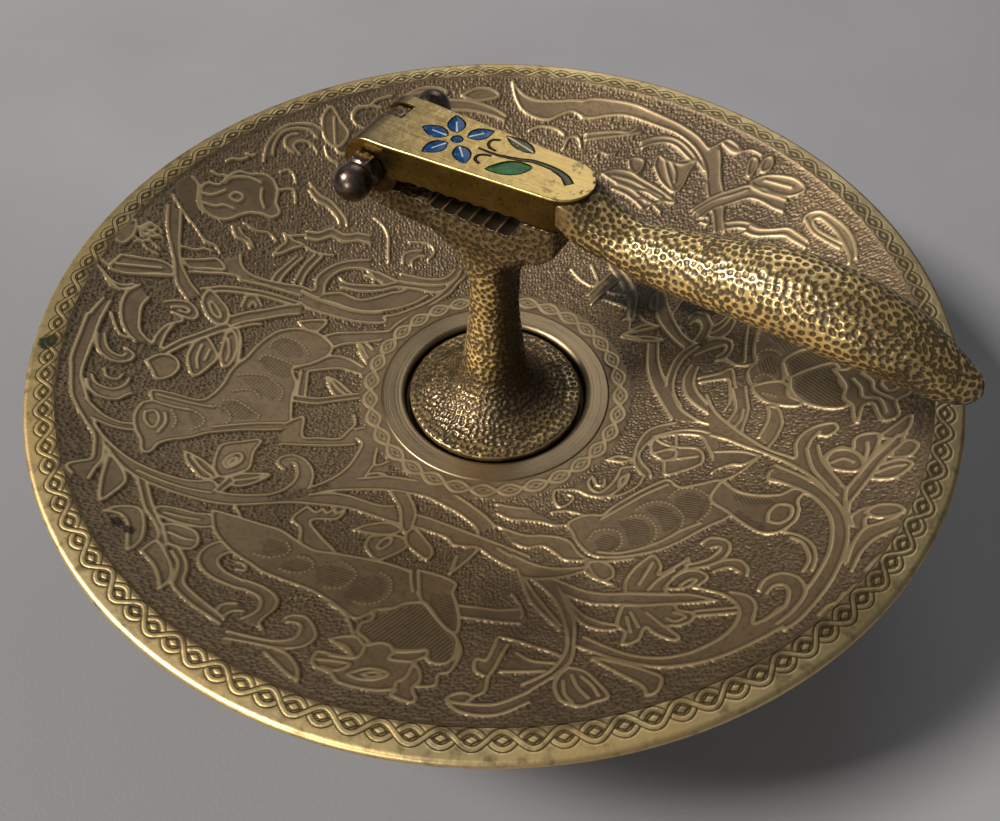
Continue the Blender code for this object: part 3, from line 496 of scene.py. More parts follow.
# Behind and left of the seat: the boughs sweep round it in long curves.
strap([(-60, 36.2), (-56.4, 35.9), (-55.9, 40.6), (-53.5, 44.1), (-50, 47.1), (-45.9, 49), (-40, 50.5)],
      [(-60, 34.7), (-55.3, 33.2), (-53.6, 34.9), (-53.2, 39), (-51, 42.9), (-48, 45.4), (-44, 46.6),
       (-40, 46.5)])
strap([(-53.5, 34.9), (-48.2, 36.4), (-42.4, 34.9), (-36.5, 37), (-32.4, 39), (-30, 39.6), (-27, 41.4)],
      [(-55.3, 32.7), (-50, 32.2), (-45.3, 31), (-40, 30.7), (-35.3, 31.6), (-30, 33.3), (-25.3, 35.7),
       (-21.2, 38.8)])
strap([(-49, 42.2), (-46.6, 40.4), (-41.2, 40.6), (-35.3, 41.5), (-30.6, 43.4), (-27.1, 43.1), (-20, 42.8),
       (-16, 43.6)],
      [(-48.2, 38.6), (-42, 38.2), (-36, 39.4), (-31, 41.2), (-24, 41), (-19.4, 40.2), (-15.4, 41.2)])
strap([(-40, 46.5), (-36.5, 45.9), (-33.5, 44.7), (-30.6, 43.4)],
      [(-41, 44.6), (-38, 43.4), (-35.6, 42.6)])
line([(-40.4, 46.2), (-38.4, 44), (-38.6, 42)])
strap([(-30, 46.7), (-27.1, 46.1), (-22.4, 45.4), (-17.6, 45.4), (-14.7, 46.7), (-12.6, 49.4)],
      [(-30.6, 43.6), (-27.1, 43.3), (-20, 43), (-15.4, 43.6), (-12, 46), (-10.6, 49)])
strap([(-9.4, 46.6), (-11.8, 43.7), (-14.1, 40.2), (-18.8, 36.1), (-23.5, 32), (-27.1, 29.6), (-30.6, 26.7),
       (-32.6, 23.6)],
      [(-12, 46), (-14.4, 43), (-17.4, 39.4), (-21.6, 36), (-26.4, 33), (-31, 30.6), (-35, 29.4)])
strap([(-60, 30), (-56.5, 28.4), (-50, 27.3), (-42.4, 26.4), (-34.7, 27), (-34.6, 29.3)],
      [(-60, 34.2), (-55.3, 32.4), (-50, 31.4), (-45.3, 30.4), (-40, 30.2), (-35.3, 31)])
strap([(-52.4, 18.8), (-48.8, 20.8), (-44.7, 21.7), (-40, 22.6), (-34.7, 23.4), (-32.6, 23.6), (-30, 21.3)],
      [(-51.2, 11.8), (-48.8, 15.3), (-45.9, 17.1), (-40.6, 18.5), (-36.5, 19.6), (-33.5, 20.6),
       (-30.4, 20.8)])
form([(-60, 22.9), (-56.5, 24.2), (-51.9, 25.1), (-53.5, 21.5), (-55, 20.3), (-58, 20.7)])
form([(-41.8, 17.9), (-41.2, 14.7), (-39.4, 11.2), (-36.5, 7.4), (-35.1, 10), (-35.7, 13.5), (-38.2, 17.1),
      (-40, 18.4)])
line([(-40.8, 17), (-39, 13), (-36.8, 9.6)])
strap([(-60, 4.7), (-55.3, 7.8), (-51.2, 10.8), (-48.2, 12), (-44.1, 11.4), (-40, 9), (-37, 7.1),
       (-34.4, 9.6), (-32.8, 13), (-33.4, 16)],
      [(-55.3, 4.8), (-51.2, 6.3), (-46.5, 7.4), (-43.5, 6.9), (-39.4, 5.7), (-36.4, 4), (-34, 1.6)])
form([(-50, 3.7), (-46.5, 2), (-42.7, -1.8), (-42, -3.6), (-45.9, -4.3), (-48.8, -0.6)])
line([(-49, 2.4), (-46, -1), (-43.4, -3.2)])
strap([(-57.6, 4.4), (-57.8, -5.9)],
      [(-55.7, 4.1), (-55.5, -5.9)])
strap([(-60, -5.6), (-52.4, -5.3), (-47.1, -3.7), (-40.6, -1.8), (-36.5, -1)],
      [(-60, -7.6), (-52.4, -7.3), (-47.1, -5.5), (-40.6, -3.6), (-36.5, -3)])
# Right of the seat: crossing stalks with spear leaves, the second trunk, and the start of the winged head.
line([(25.3, 48.2), (27, 45.3), (29.4, 42.4), (31.9, 40.7), (33.5, 42.4), (32.9, 45.3), (31.8, 49)])
strap([(37.6, 50), (38.2, 46.5), (40.6, 41.8), (41.8, 38.2), (42.6, 33.5), (42, 27)],
      [(40.2, 50), (41, 46.4), (43.6, 41), (45.3, 35.3), (44.7, 30.6), (43.5, 25.3)])
strap([(40.4, 41.6), (36.5, 38.8), (32.4, 35.3), (31.2, 33.8)],
      [(37.8, 44.6), (34, 41.2), (30.4, 37.6)])
line([(36, 38.2), (38.5, 36.7), (41.5, 36)])
line([(34.7, 35.3), (38.2, 32.9), (41.8, 30.6)])
form([(39.4, 20.2), (43, 21.8), (46.5, 22.8), (50.6, 21.4), (46, 21)])
form([(39.6, 19.6), (44, 18.8), (48, 17.8), (51.4, 15.8), (46.5, 16.6)])
line([(42, 22.4), (42.4, 25.9), (40.8, 26.4)])
line([(45.3, 27), (47, 24.1), (50, 21.8)])
strap([(47, 15.3), (46.2, 10), (45.9, 4.1), (46.8, -1.8), (48.8, -8.8), (50.6, -15)],
      [(50, 15.3), (49.4, 8.8), (49.9, 2.9), (51, -1.6), (52.2, -6), (53.5, -11.4), (57.5, -17), (60, -19)])
strap([(52.4, 35.9), (51.2, 30.6), (50.6, 25.9), (51.8, 21.2), (54.5, 15.5), (57, 11.5)],
      [(53.9, 34.7), (54.3, 29.4), (55, 24.7), (57.2, 17.1), (60, 12.6)])
form([(52, 35.6), (49.4, 31.8), (49.1, 28.6), (50.6, 29), (51.4, 32)])
line([(58.8, 29.4), (55.9, 25.9), (55.3, 24.3)])
strap([(61, 12.2), (56.5, 10), (53.5, 6.5), (51.2, 1.2), (50.6, -1.8)],
      [(61, 10.4), (57, 7.6), (54.3, 3.5), (52.6, -1.8), (52.6, -6.5), (53.8, -10.6)])
strap([(58.4, 4.3), (55.9, 0), (55.3, -4.6), (56.6, -9), (59.6, -13.6), (62.4, -17)],
      [(60.2, 3), (58.5, -1.4), (58.5, -5), (60, -9.4), (62.4, -14.7)])
strap([(60, 22.6), (62.4, 24), (65, 22.4), (65.8, 20), (66, 17), (64, 13.5)],
      [(60, 20), (62, 20.8), (63.1, 18.8), (62.6, 16.3), (60.4, 13.3)])
form([(64.2, 13.7), (66, 16.8), (69, 18.2), (72, 20.4), (72.8, 17.4), (70.6, 13.7), (67.6, 12.3)])
line([(65.8, 14.6), (69, 16), (71.4, 18.4)])
strap([(64.4, 12.3), (67.6, 12.1), (70.5, 10), (70.2, 6.5), (67.8, 4), (65.4, 4.2)],
      [(60, 7.8), (64.7, 9), (68.6, 9), (68.2, 6.7), (65.9, 5.5)])
strap([(60, -1), (65.9, -1), (69.2, -0.4), (69.2, -5.9), (69.4, -10), (68.2, -13.5)],
      [(60, -2.8), (64.6, -3.2), (67.6, -4), (67.6, -8), (66.9, -12.4), (65.3, -15)])
line([(68.2, 3.5), (70.6, 0.8), (73.5, -0.4), (75.9, -0.4)])
line([(76.8, 15.9), (75.3, 11.2), (74.1, 6.5), (73.2, 1.2)])
form([(75.9, -0.6), (76, 4), (77.4, 9), (79, 12.4), (82, 13), (85.4, 9.6), (87.8, 4.6), (90, -0.3),
      (85.3, -0.9), (82.6, -2.9), (82, -8), (80, -12), (76, -11.4), (73.4, -8), (73.2, -3)])
strokes([(79.6, 9.4), (82.6, 10.2), (86.6, 5.6), (87.6, 1.6), (84.6, 0.4), (82.6, 4.6)], -74, 0.85)
strokes([(76.4, -0.8), (80, 0.6), (81, -4), (79.6, -6.4), (76.6, -4)], -86, 0.85)
beads([(76.5, 0.4), (76.8, 2.4), (78.8, 3.4), (81.2, 2.4), (82.4, 0.6), (82.6, -0.8)])
beads([(74.4, -7.8), (74.7, -5.9), (76.5, -5), (78.2, -5.9), (79.4, -8.2), (79.4, -10)])
beads([(77.6, 7.4), (78.2, 9.4), (79.7, 11.2), (81.5, 11.4)])
form([(82.6, -2.9), (85.3, -0.9), (90, -0.3), (95, -3), (99, -7), (101.6, -11), (97, -13), (94.6, -11.5),
      (88, -12), (83.4, -11)])
strokes([(84, -3), (87, -1.6), (91, -1.6), (97, -6.6), (100, -10.6), (95, -11), (88, -11),
         (84, -9.6)], -62, 0.85)
strap([(96.5, 44.7), (96.3, 46.4), (98.2, 47.4), (101.4, 46.1), (104.9, 40.6), (106.9, 35.3), (107.4, 30),
       (107, 26)],
      [(98.4, 44.6), (100.4, 44.2), (103.3, 38.2), (104.7, 32.4), (105.3, 27.6), (105, 25)])
strap([(96.5, 44.7), (97.6, 40.6), (100, 36.5), (103.5, 31.5)],
      [(98.2, 44), (99, 40.8), (101.2, 37.4), (104.3, 33)])
strap([(81.2, 50), (83.5, 47.8), (87.6, 46.1), (91.2, 44.9), (93.2, 42.4), (96, 38)],
      [(79.4, 48.4), (82.4, 45.8), (87, 44), (90, 42.8), (92.4, 39.6), (95, 36)])
# Left: the vine comes down by the rim and forks. A second beast stands above it, and a bud hangs below.
strap([(-113.5, 5), (-113.8, -10), (-112.9, -15.3), (-110.9, -23.5), (-108.8, -27.6), (-105.9, -31.8),
       (-102.9, -35.9), (-101.8, -40), (-101.2, -44.1), (-102.9, -45.9), (-104.7, -47.4), (-105.3, -49),
       (-103.5, -50.8)],
      [(-110.3, 5), (-110.6, -10), (-110.3, -16.5), (-108.8, -20.6), (-106.5, -25.3), (-104.5, -28),
       (-103.5, -32.4), (-100.6, -36.4), (-99.1, -42.9), (-99.7, -47.6), (-100, -51.2)])
strap([(-103.5, -32.4), (-100.6, -35.9), (-96.5, -39.4), (-91.8, -42.1), (-84.7, -44), (-78.8, -44.2),
       (-74.1, -42.8), (-72.4, -44.6), (-71.6, -46.3), (-66, -45.8), (-60, -44.1)],
      [(-99.4, -38.8), (-95.3, -43.5), (-90.6, -46.8), (-84.7, -48.7), (-78.8, -49.8), (-72.9, -50.3),
       (-67.1, -49.7), (-60, -47.4)])
line([(-91, -44.6), (-84.7, -46.4), (-78.8, -47.2), (-73.6, -47)])
strap([(-107.4, -24.5), (-102.9, -28.2), (-98.8, -29.4), (-95.9, -28.8)],
      [(-104.6, -30.6), (-99.4, -31.6), (-95.3, -31)])
form([(-98.2, -40.6), (-97.9, -46.5), (-97.4, -51.2), (-95.9, -57.3), (-94.1, -54.1), (-92.7, -50),
      (-93, -47.6), (-94.7, -44.8)])
strap([(-90.6, -46.8), (-88.8, -51.2), (-86.5, -56.5), (-83.5, -60.6), (-81.4, -64.7), (-81.8, -68),
       (-83.5, -71.2)],
      [(-88.2, -47.8), (-85.3, -54.7), (-82.6, -59.6), (-79.6, -64.4), (-78.8, -69.6), (-76.8, -73.6)])
form([(-84.3, -56.9), (-83.3, -55.2), (-80, -54.8), (-75.3, -55.2), (-71.2, -54.8), (-70, -57.6),
      (-72.9, -59.6), (-78.8, -59.4), (-83, -58.2)])
line([(-82, -57), (-78, -57.4), (-74, -57.2)])
form([(-81.4, -61.2), (-78.8, -60.4), (-74.1, -61.6), (-72.7, -65.3), (-74.1, -67.8), (-78.4, -67.2),
      (-80, -64.7)])
line([(-79.4, -63.4), (-76, -64.6), (-74, -64.6)])
form([(-94.1, -60.6), (-91.8, -58.2), (-87.6, -57.4), (-85.3, -61.8), (-84.5, -67.6), (-86, -71.6),
      (-87.3, -67.6), (-88.3, -63.5), (-90.6, -60.6)])
form([(-83.5, -71.2), (-80, -74.7), (-77.8, -78.8), (-76.5, -82), (-75.4, -78.2), (-76.4, -74.1),
      (-78.8, -70), (-81.4, -67)])
strap([(-76.5, -67.6), (-74.1, -71.2), (-72.9, -74.7), (-72.7, -78.2), (-71.2, -80.6), (-67.1, -84.1),
       (-62.7, -87.6), (-61.5, -89)],
      [(-77.4, -69.4), (-75.2, -72.9), (-74.6, -77.1), (-74.3, -80.6), (-70, -84.9), (-64.7, -88.6),
       (-62, -90.5)])
strap([(-63.6, -86.6), (-63.2, -84.6), (-61.6, -83.6), (-60, -83.4)],
      [(-61.8, -88), (-60.4, -86), (-58, -85.6)])
strap([(-60, -62.5), (-65.3, -62.9), (-68.8, -64.1), (-71.2, -67.6), (-71.2, -71.2), (-68.8, -74.7),
       (-64.7, -77.1), (-60, -78.6)],
      [(-60, -66.8), (-64.1, -66.3), (-66.5, -68), (-67.1, -70.6), (-64.7, -73.5), (-60, -75.7)])
line([(-63, -69.6), (-61, -70.4), (-60.6, -72.2), (-62.6, -72)])
line([(-67.1, -50.4), (-65.3, -53.5), (-63.5, -58.8), (-63.8, -62)])
form([(-75, -34.8), (-75, -32.4), (-74.1, -28.8), (-70, -26.5), (-65.1, -24.5), (-66.2, -29.4),
      (-66.3, -35.3), (-67.6, -37.1), (-70.6, -39.6), (-72.7, -40.6), (-74.6, -38)])
form([(-72.9, -35.3), (-71.8, -32.4), (-69.3, -30.8), (-68.7, -33.5), (-71.4, -37)])
form([(-71.7, -35), (-70.8, -33), (-69.8, -32.6), (-70, -34), (-71.3, -35.8)], 0.0004)
form([(-82.4, -34), (-79.4, -35.1), (-75.9, -37.4), (-73.3, -41), (-76.5, -42.3), (-78.8, -40.2),
      (-81.4, -37.1)])
line([(-80.4, -35.6), (-77.4, -39), (-74.6, -41)])
form([(-70, -40), (-67.1, -38), (-61, -36.6), (-63.5, -40), (-67.1, -42.6), (-69.4, -42.6)])
line([(-69, -41), (-65.6, -39.6), (-62.4, -37.6)])
strap([(-70.4, -39.8), (-73, -46)],
      [(-69.2, -41.8), (-71.4, -46)])
form([(-58, -18.3), (-64.7, -20.3), (-70, -21.8), (-75.3, -24.1), (-78.8, -25.9), (-82.4, -28.8),
      (-86.5, -31.2), (-88.8, -33.5), (-89.6, -36.2), (-90.8, -37.6), (-92, -36.8), (-92.9, -33.5),
      (-94.9, -30), (-96.1, -25.3), (-95.3, -20.6), (-93.5, -18.8), (-94.1, -15.3), (-89.4, -14.4),
      (-82.4, -14.4), (-79.5, -11), (-77.5, -6), (-76, 0), (-73, 5.3), (-70.6, 10.6), (-67.6, 15.3),
      (-64.7, 18.2), (-60, 20.2), (-56, 19.9), (-52.4, 18.8), (-49.5, 15.5), (-50.8, 11.5), (-55.3, 7.6),
      (-60, 4.7), (-58.5, -1), (-59, -7)])
line([(-92.4, -16.2), (-84.7, -16.2), (-78.8, -15.9)])
line([(-93.5, -18.8), (-88.2, -19.1), (-83.5, -18.8)])
line([(-77.4, -23), (-70, -19.6), (-64, -17.6), (-58, -16.2)])
form([(-94.1, -23.5), (-91.9, -22.2), (-90.5, -24.7), (-91.1, -28.4), (-93.4, -26.6)])
line([(-89.6, -22), (-88.8, -25.3), (-89.8, -29.6)])
for outline in ([(-76.6, -14), (-73, -12.6), (-69, -14.6), (-68.4, -17), (-73, -18), (-76.4, -16.8)],
                [(-82, -24), (-84, -20), (-81.2, -20.6), (-80.6, -22.4)],
                [(-73, -3), (-67, -1), (-63.4, -4), (-64, -8.4), (-70, -5.4)],
                [(-69, 5), (-66, 6.6), (-60.5, 4.4), (-61, 0.8), (-66, 1.6)],
                [(-66, 11.4), (-63, 14.8), (-58.4, 13), (-58, 9.6), (-63, 8.6)]):
    strokes(outline, 62, 0.85)
for arc_points in ([(-76.5, -12.4), (-73.5, -11.5), (-71.2, -12.6), (-68.2, -14.4), (-66.8, -15.6),
                    (-67.6, -17.4)],
                   [(-79.4, -15.3), (-76.5, -15), (-74.7, -16.5), (-73.8, -18.8), (-75, -20.9)],
                   [(-84.7, -18.5), (-81.2, -19.7), (-80, -21.8), (-80.9, -24.1), (-82.4, -25.6)],
                   [(-88.2, -20.6), (-87.1, -22.4), (-86.5, -24.1), (-86.8, -26.4)],
                   [(-74.1, -1.8), (-71.2, -0.6), (-67.1, 0), (-64.1, -1.8), (-61.8, -4.7), (-62.4, -8.8)],
                   [(-69.4, 5.9), (-68.2, 7.6), (-65.3, 7.6), (-60, 5.9), (-58.6, 3)],
                   [(-67.1, 11.2), (-66.5, 13.5), (-63.5, 15.9), (-60, 15.3), (-57.6, 13.5), (-56.2, 11.2)],
                   [(-74.7, -8.2), (-71.2, -6.5), (-68.8, -7), (-67.6, -8.8)]):
    beads(arc_points)
strap([(-108.8, -17.6), (-107.6, -20.6), (-104.7, -22.4), (-101.2, -21.8), (-99.4, -19.4), (-98.2, -18.2)],
      [(-108.2, -15.5), (-106.5, -18.2), (-102.9, -18.6), (-100.6, -16.2), (-99.8, -13)])
line([(-106, -12), (-105, -14.6), (-102.6, -14.8), (-101.6, -12.4)])
# Front left of the seat: the great vine, its side branch with three buds, and a clawed foreleg.
strap([(-41.3, -34), (-36.5, -33.8), (-30.6, -32.6), (-24.7, -33.2), (-19.4, -34.4), (-15.3, -36.2),
       (-11.2, -38.8), (-7.6, -41.8), (-3.5, -45.9), (-0.6, -50)],
      [(-50, -42.4), (-45.9, -40), (-41.2, -38.8), (-35.3, -37.9), (-29.4, -37.6), (-24.4, -38.2),
       (-19.4, -39.4), (-15.3, -41.8), (-10, -45.6), (-5.9, -50), (-5, -52.6)])
strap([(-50, -42), (-44.7, -40.6), (-40, -40.9), (-36.5, -42), (-31.8, -43.5), (-27.6, -43.5)],
      [(-60, -47.4), (-55, -45.9), (-50, -45.3), (-40, -45.3), (-34.7, -46.8), (-30, -48.5), (-25.6, -50)])
strap([(-20.9, -46.5), (-17.6, -47.6), (-10, -51.2), (0, -56.5), (8, -61.5)],
      [(-22.4, -50.6), (-17, -52.5), (-13, -54.6), (-11.2, -57), (-5, -58.2), (-1.2, -61.8), (4, -66)])
strap([(-29.1, -37.9), (-27.1, -41.8), (-25.9, -44.7), (-25.3, -50.6), (-24, -53.5)],
      [(-24.4, -38.2), (-22.4, -42.9), (-21.8, -46.5), (-22.6, -51.2), (-21.8, -53)])
strap([(-41.2, -15.9), (-38.2, -14.7), (-36.5, -15), (-35, -17.6), (-33.8, -21.2), (-34.1, -25.3),
       (-34.4, -28.8), (-36.2, -32.9)],
      [(-40.3, -18.5), (-38.2, -20.6), (-39.1, -24.7), (-41.2, -30), (-44.1, -34.1), (-48.2, -37.9),
       (-50.3, -39.4)])
strap([(-50.3, -39.4), (-50, -34.7), (-51.2, -31.2), (-53.5, -28.8), (-56.5, -28.2), (-59.1, -29.7),
       (-59.6, -32), (-57.4, -34.1)],
      [(-60, -44.1), (-57, -41.8), (-54.7, -38.2), (-54.1, -34.7), (-55, -31.2), (-56.2, -30.9)])
strap([(-34, -28.8), (-31.5, -27.8), (-29.4, -26)],
      [(-35.9, -32.4), (-33, -31.5), (-30.8, -32)])
form([(-37.4, -53.2), (-33.5, -50.9), (-28.5, -49.8), (-25.3, -52), (-28, -54), (-33, -54)])
form([(-33, -55.3), (-33.8, -58.8), (-31.8, -62.4), (-30, -63.5), (-26.5, -61.2), (-23.5, -58.2),
      (-24.5, -55), (-28.5, -54.3)])
form([(-31, -58.8), (-29.7, -56.2), (-27.6, -55.3), (-27.9, -57.6), (-30, -59.6)])
form([(-24, -53.5), (-23.5, -57), (-21, -60), (-18, -62.4), (-16.8, -59.4), (-18.8, -55.3), (-21.8, -51.5)])
form([(-50, -46.5), (-53, -51.5), (-50.6, -54.7), (-49.7, -60), (-45.9, -62.2), (-41.2, -62.1), (-45.3, -57),
      (-48.5, -52.4), (-47, -50.6), (-42.4, -50), (-40.6, -47.6), (-40.6, -46.3), (-42.5, -48), (-43, -46.2),
      (-44.8, -48.2), (-46, -46.6), (-47.4, -48.3)])
strap([(-10.5, -61), (-12, -67.5)],
      [(-8.2, -58.2), (-6.2, -57.6), (-5.3, -58.8), (-8.2, -63), (-12, -67.4)])
strap([(-60, -24.6), (-52.4, -23.5), (-45.3, -22.4), (-40, -21.2)],
      [(-60, -17), (-56.5, -13.8), (-55, -13.5), (-54.4, -20.6), (-50, -20.3), (-44.7, -19.7),
       (-42.4, -16.5), (-40.6, -13.5), (-41.2, -10)])
# Front right of the seat: a running beast, its body ringed with beads, and the leafy boughs above it.
strap([(51.5, -16.5), (47, -16.8), (43.5, -18.2), (40.6, -21.8), (38.8, -26.5), (38.5, -30.6),
       (40.6, -35.3)],
      [(44.7, -21.2), (41.8, -24), (40, -27), (40.6, -30), (42, -33), (42.4, -35.3)])
strap([(44.7, -20.6), (50, -19.7), (54.7, -20), (58.8, -21.8), (62, -25)],
      [(44.9, -21.2), (50.6, -20.9), (54.7, -21.8), (57.6, -23.5), (58.5, -27.6), (59.4, -33.5)])
form([(45, -21.2), (47, -23.5), (50, -25.6), (54.7, -27), (56.2, -28.2), (56.8, -30.6), (55.9, -33.5),
      (51.2, -35), (46.2, -35.3), (46.2, -30.3), (43.8, -27), (43.6, -24)])
line([(43.8, -27), (48.2, -26.2), (50, -27), (49.4, -29.5), (46.2, -30.3)])
line([(46.2, -30.3), (50.6, -30.3), (55.3, -30.6)])
line([(51, -20.9), (50.6, -24.7)])
form([(31.2, -27.4), (34.7, -26.5), (37.8, -28), (35.3, -28.8)])
strap([(37.6, -30.9), (34.7, -31.2), (33.5, -33.5), (31.2, -37), (28.2, -39.4), (25.9, -37.9), (25.3, -35.3),
       (26.5, -33.2)],
      [(36.6, -33.5), (35.6, -36.5), (33.3, -39), (29.5, -41.2), (25.3, -40.3), (22.4, -38.2),
       (19.4, -37.6)])
line([(27, -34), (27.6, -36.5), (29.4, -36.8), (29.8, -34.6)])
line([(36.4, -33.5), (35.3, -36), (33.4, -38.2), (34, -35.2), (36.4, -33.5)])
line([(30.6, -41.8), (34.7, -40.6), (38.2, -38.6), (40, -35.9)])
line([(18.5, -37.5), (15.9, -37.9), (15.6, -41.2), (17, -43.8), (19.4, -42.9), (20.8, -40.6), (19.5, -39.3)])
# The beast in front right of the seat, with its mane in rows, and the tendrils at its feet.
strap([(0, -42), (4.1, -43.2), (8.5, -44.1)],
      [(0, -45.3), (3.5, -47.6), (7.6, -48.2), (11.8, -49.1), (15.3, -50.6), (18.2, -50.6)])
line([(14.7, -45.6), (19.4, -45.6), (23.5, -47.6), (27, -49.7), (30.6, -50.9)])
strap([(0, -50), (3.5, -52), (7.6, -53.8), (11.8, -54.1), (15.9, -55), (18.8, -57), (20.6, -61.2),
       (23.5, -64.1), (28.2, -65), (34, -65)],
      [(4.1, -56.2), (7.6, -58.2), (11.8, -57.9), (14.7, -60.6), (17, -63.2), (21.8, -64.1)])
line([(0, -58.2), (3.5, -61.2), (7.6, -64.1), (11.8, -65.9), (16.5, -67), (21.2, -66.8)])
line([(38.2, -64.7), (35.3, -68)])
form([(28, -48), (31.8, -44.7), (37.6, -41.2), (42.4, -38.8), (46.5, -37.6), (48.2, -40), (50, -41.2),
      (55, -41), (60, -41.2), (62, -47), (60, -53.5), (58.2, -55.3), (54.7, -56.5), (50, -58.8),
      (45.3, -61.2), (40, -63), (33, -63.8), (27.6, -63.5), (23.5, -61.8), (20.6, -57), (19.7, -53.5),
      (18.8, -50), (23.5, -47.6)])
line([(27.6, -49.4), (34, -45.4), (40, -41.9), (46.2, -39.4)])
line([(25.3, -61.2), (30, -62.4), (35.3, -61.8), (41.2, -60), (47, -57), (52, -55.4)])
strokes([(46.8, -45), (51.2, -43.2), (54.6, -47), (54, -50.5), (51, -53.6), (47.6, -50)], -25, 0.85)
strokes([(39, -47), (43.5, -46.6), (47, -51.4), (46.4, -54.6), (43, -56), (41.6, -51)], -25, 0.85)
strokes([(31.5, -50.4), (37.6, -50.6), (39.6, -55.3), (38.6, -58.6), (34, -60), (33, -54)], -25, 0.85)
strokes([(25, -57), (28.2, -54.6), (30.8, -57), (29.6, -60.4), (26, -60.6)], -25, 0.85)
beads([(45.9, -44.1), (48.2, -42), (51.2, -41.8), (54.1, -43.5), (55.9, -47), (55.3, -50.6), (53, -53.5),
       (50.6, -55)])
beads([(37, -47), (40, -45.3), (43.5, -45.3), (46.5, -47.6), (48.2, -51.2), (47.6, -54.7), (45.6, -57.6)])
beads([(35.3, -49.4), (38.2, -49.4), (40.3, -52.4), (40.9, -55.3), (40, -58.8), (37.6, -60.9)])
beads([(23.5, -56.5), (25.3, -53.8), (28.2, -53.2), (31.2, -54.4), (32, -57), (31.2, -60), (28.8, -62)])
# Right: the trunk of the vine, a curl and a leafy side branch, the beast's hind part, and a winged head.
strap([(61.2, -8), (62.4, -14.7), (65.9, -21.8), (69.4, -27.6), (72.9, -32.9), (76.5, -36.6), (78.8, -38.4),
       (80, -33.5), (82.9, -30.3), (86.5, -29.1), (90, -29.7), (90.2, -32.4), (87.6, -33.6), (86, -32.6)],
      [(60, -23.5), (63.5, -25.9), (67.6, -30), (71.8, -34.1), (75.9, -38.8), (79.4, -44.1), (81.8, -50),
       (82.6, -55.9), (82.4, -61.8), (80.6, -68.2), (85.3, -60), (86.5, -54), (84.7, -47.6), (82.6, -42.9),
       (82, -37.6), (83.5, -34.1), (86.2, -31.4)])
strap([(84.8, -61), (86.5, -54.7), (89.4, -51.2), (92.9, -47.6), (96.5, -43.5), (101.2, -40),
       (106.4, -34.9)],
      [(84.4, -64), (86.5, -58.6), (90.6, -53.4), (95.3, -48.8), (100, -44.4), (103.5, -41), (106.4, -34.9)])
form([(85.3, -42.4), (85.9, -40), (89.4, -38.8), (91.8, -40.6), (92.9, -37.6), (95.3, -36.5), (98.4, -38),
      (96.5, -42.9), (92.4, -47.6), (90, -48.2), (87.6, -45.3)])
line([(88.6, -41.4), (90, -44), (92, -46.5)])
line([(95.3, -39.6), (94.6, -42.6), (93.3, -45.3)])
form([(98.2, -38.8), (102.9, -36.3), (106.5, -34.7), (104.9, -38.8), (101, -41)])
form([(99.6, -44.9), (103.5, -42.7), (105, -45.3), (102.6, -48), (99, -47)])
form([(94.7, -48.6), (100, -48.3), (102, -51.2), (97.6, -53.9), (93.5, -52.6), (92, -50.6)])
line([(94.4, -50.8), (98, -50.2), (100.6, -50.8)])
strap([(84.7, -66.5), (85.3, -63.3), (88.8, -61.6), (92.4, -62.7), (95.6, -66.2)],
      [(86.9, -68.2), (88, -65), (91.2, -64.8), (93.2, -67.2)])
form([(60, -41.2), (62.4, -45.3), (65.9, -48.2), (70.6, -50), (72.9, -50.4), (75.9, -49.4), (79, -50.2),
      (75.9, -53.7), (75.3, -57), (73.5, -60.6), (69.4, -63.2), (65.3, -62.4), (61.8, -57.6), (59, -52.5),
      (56, -47)])
form([(67.6, -58.8), (68.5, -55.9), (71.2, -53.8), (73.8, -55.3), (72.9, -58.8), (70, -60.3)])
strokes([(62.2, -46.2), (65.5, -49.2), (70, -51), (70, -53), (64.6, -51.4), (61.4, -48)], -75, 0.75)
strokes([(60.4, -54), (63, -59), (65.4, -61.6), (66.8, -60), (64, -56.4), (61.8, -52.6)], -40, 0.75)
strap([(60, -30), (64.1, -31), (67.6, -32.4), (70.8, -35.2)],
      [(58, -37.6), (60, -36.6), (63.6, -36), (66, -36.8), (70.8, -35.2)])
line([(70.8, -35.2), (65.9, -38.8), (62.4, -40.6), (60, -41)])
strap([(74.4, -40.6), (71.8, -41.6), (71, -44.1), (72.9, -45.6), (75.6, -45)],
      [(74.2, -42.4), (73.2, -43.2), (74.6, -43.8)])
strap([(68.2, -8), (68.2, -13.5), (67.6, -16.5), (65.3, -19.6)],
      [(71.8, -8), (71.4, -14), (70.8, -18), (68.4, -23.5), (68, -25)])
line([(69.8, -16.5), (68.6, -20), (66.8, -22)])
strap([(75.9, -17.4), (75.9, -20), (74.7, -23.5), (71.8, -28)],
      [(75.9, -17.4), (78.4, -19.2), (78.4, -24.7), (76, -29.4), (73.7, -32.2)])
form([(82.4, -11.8), (81.8, -15.3), (84.3, -18.8), (83.3, -20), (79.4, -18.2), (75.3, -14.7), (73.6, -9),
      (80, -9)])
beads([(75.8, -12.2), (77.4, -13.4), (79, -14.8)])
form([(83.5, -9), (82.8, -14), (84.7, -19), (89.4, -23.5), (94.1, -24.9), (95.4, -20), (94.6, -16),
      (95.4, -11), (94, -8), (88, -8)])
strokes([(84.4, -9.6), (83.8, -14), (85.8, -18.6), (89.8, -22.6), (93.4, -23.6), (94, -19), (93.4, -13),
         (93, -9)], -62, 0.85)
form([(94.1, -10.6), (95.5, -17.6), (94.1, -21.8), (95.3, -25.3), (94.7, -30), (95.3, -31.6), (97.6, -26.7),
      (99.8, -27), (100.4, -33.3), (104.1, -33.5), (104.9, -28.4), (108.2, -27.2), (109, -24.1), (107, -18),
      (104.5, -13), (101, -10), (97.5, -12)])
form([(103.2, -21.2), (105, -18.8), (107, -21.2), (106.3, -24.1), (104.1, -24.1)])
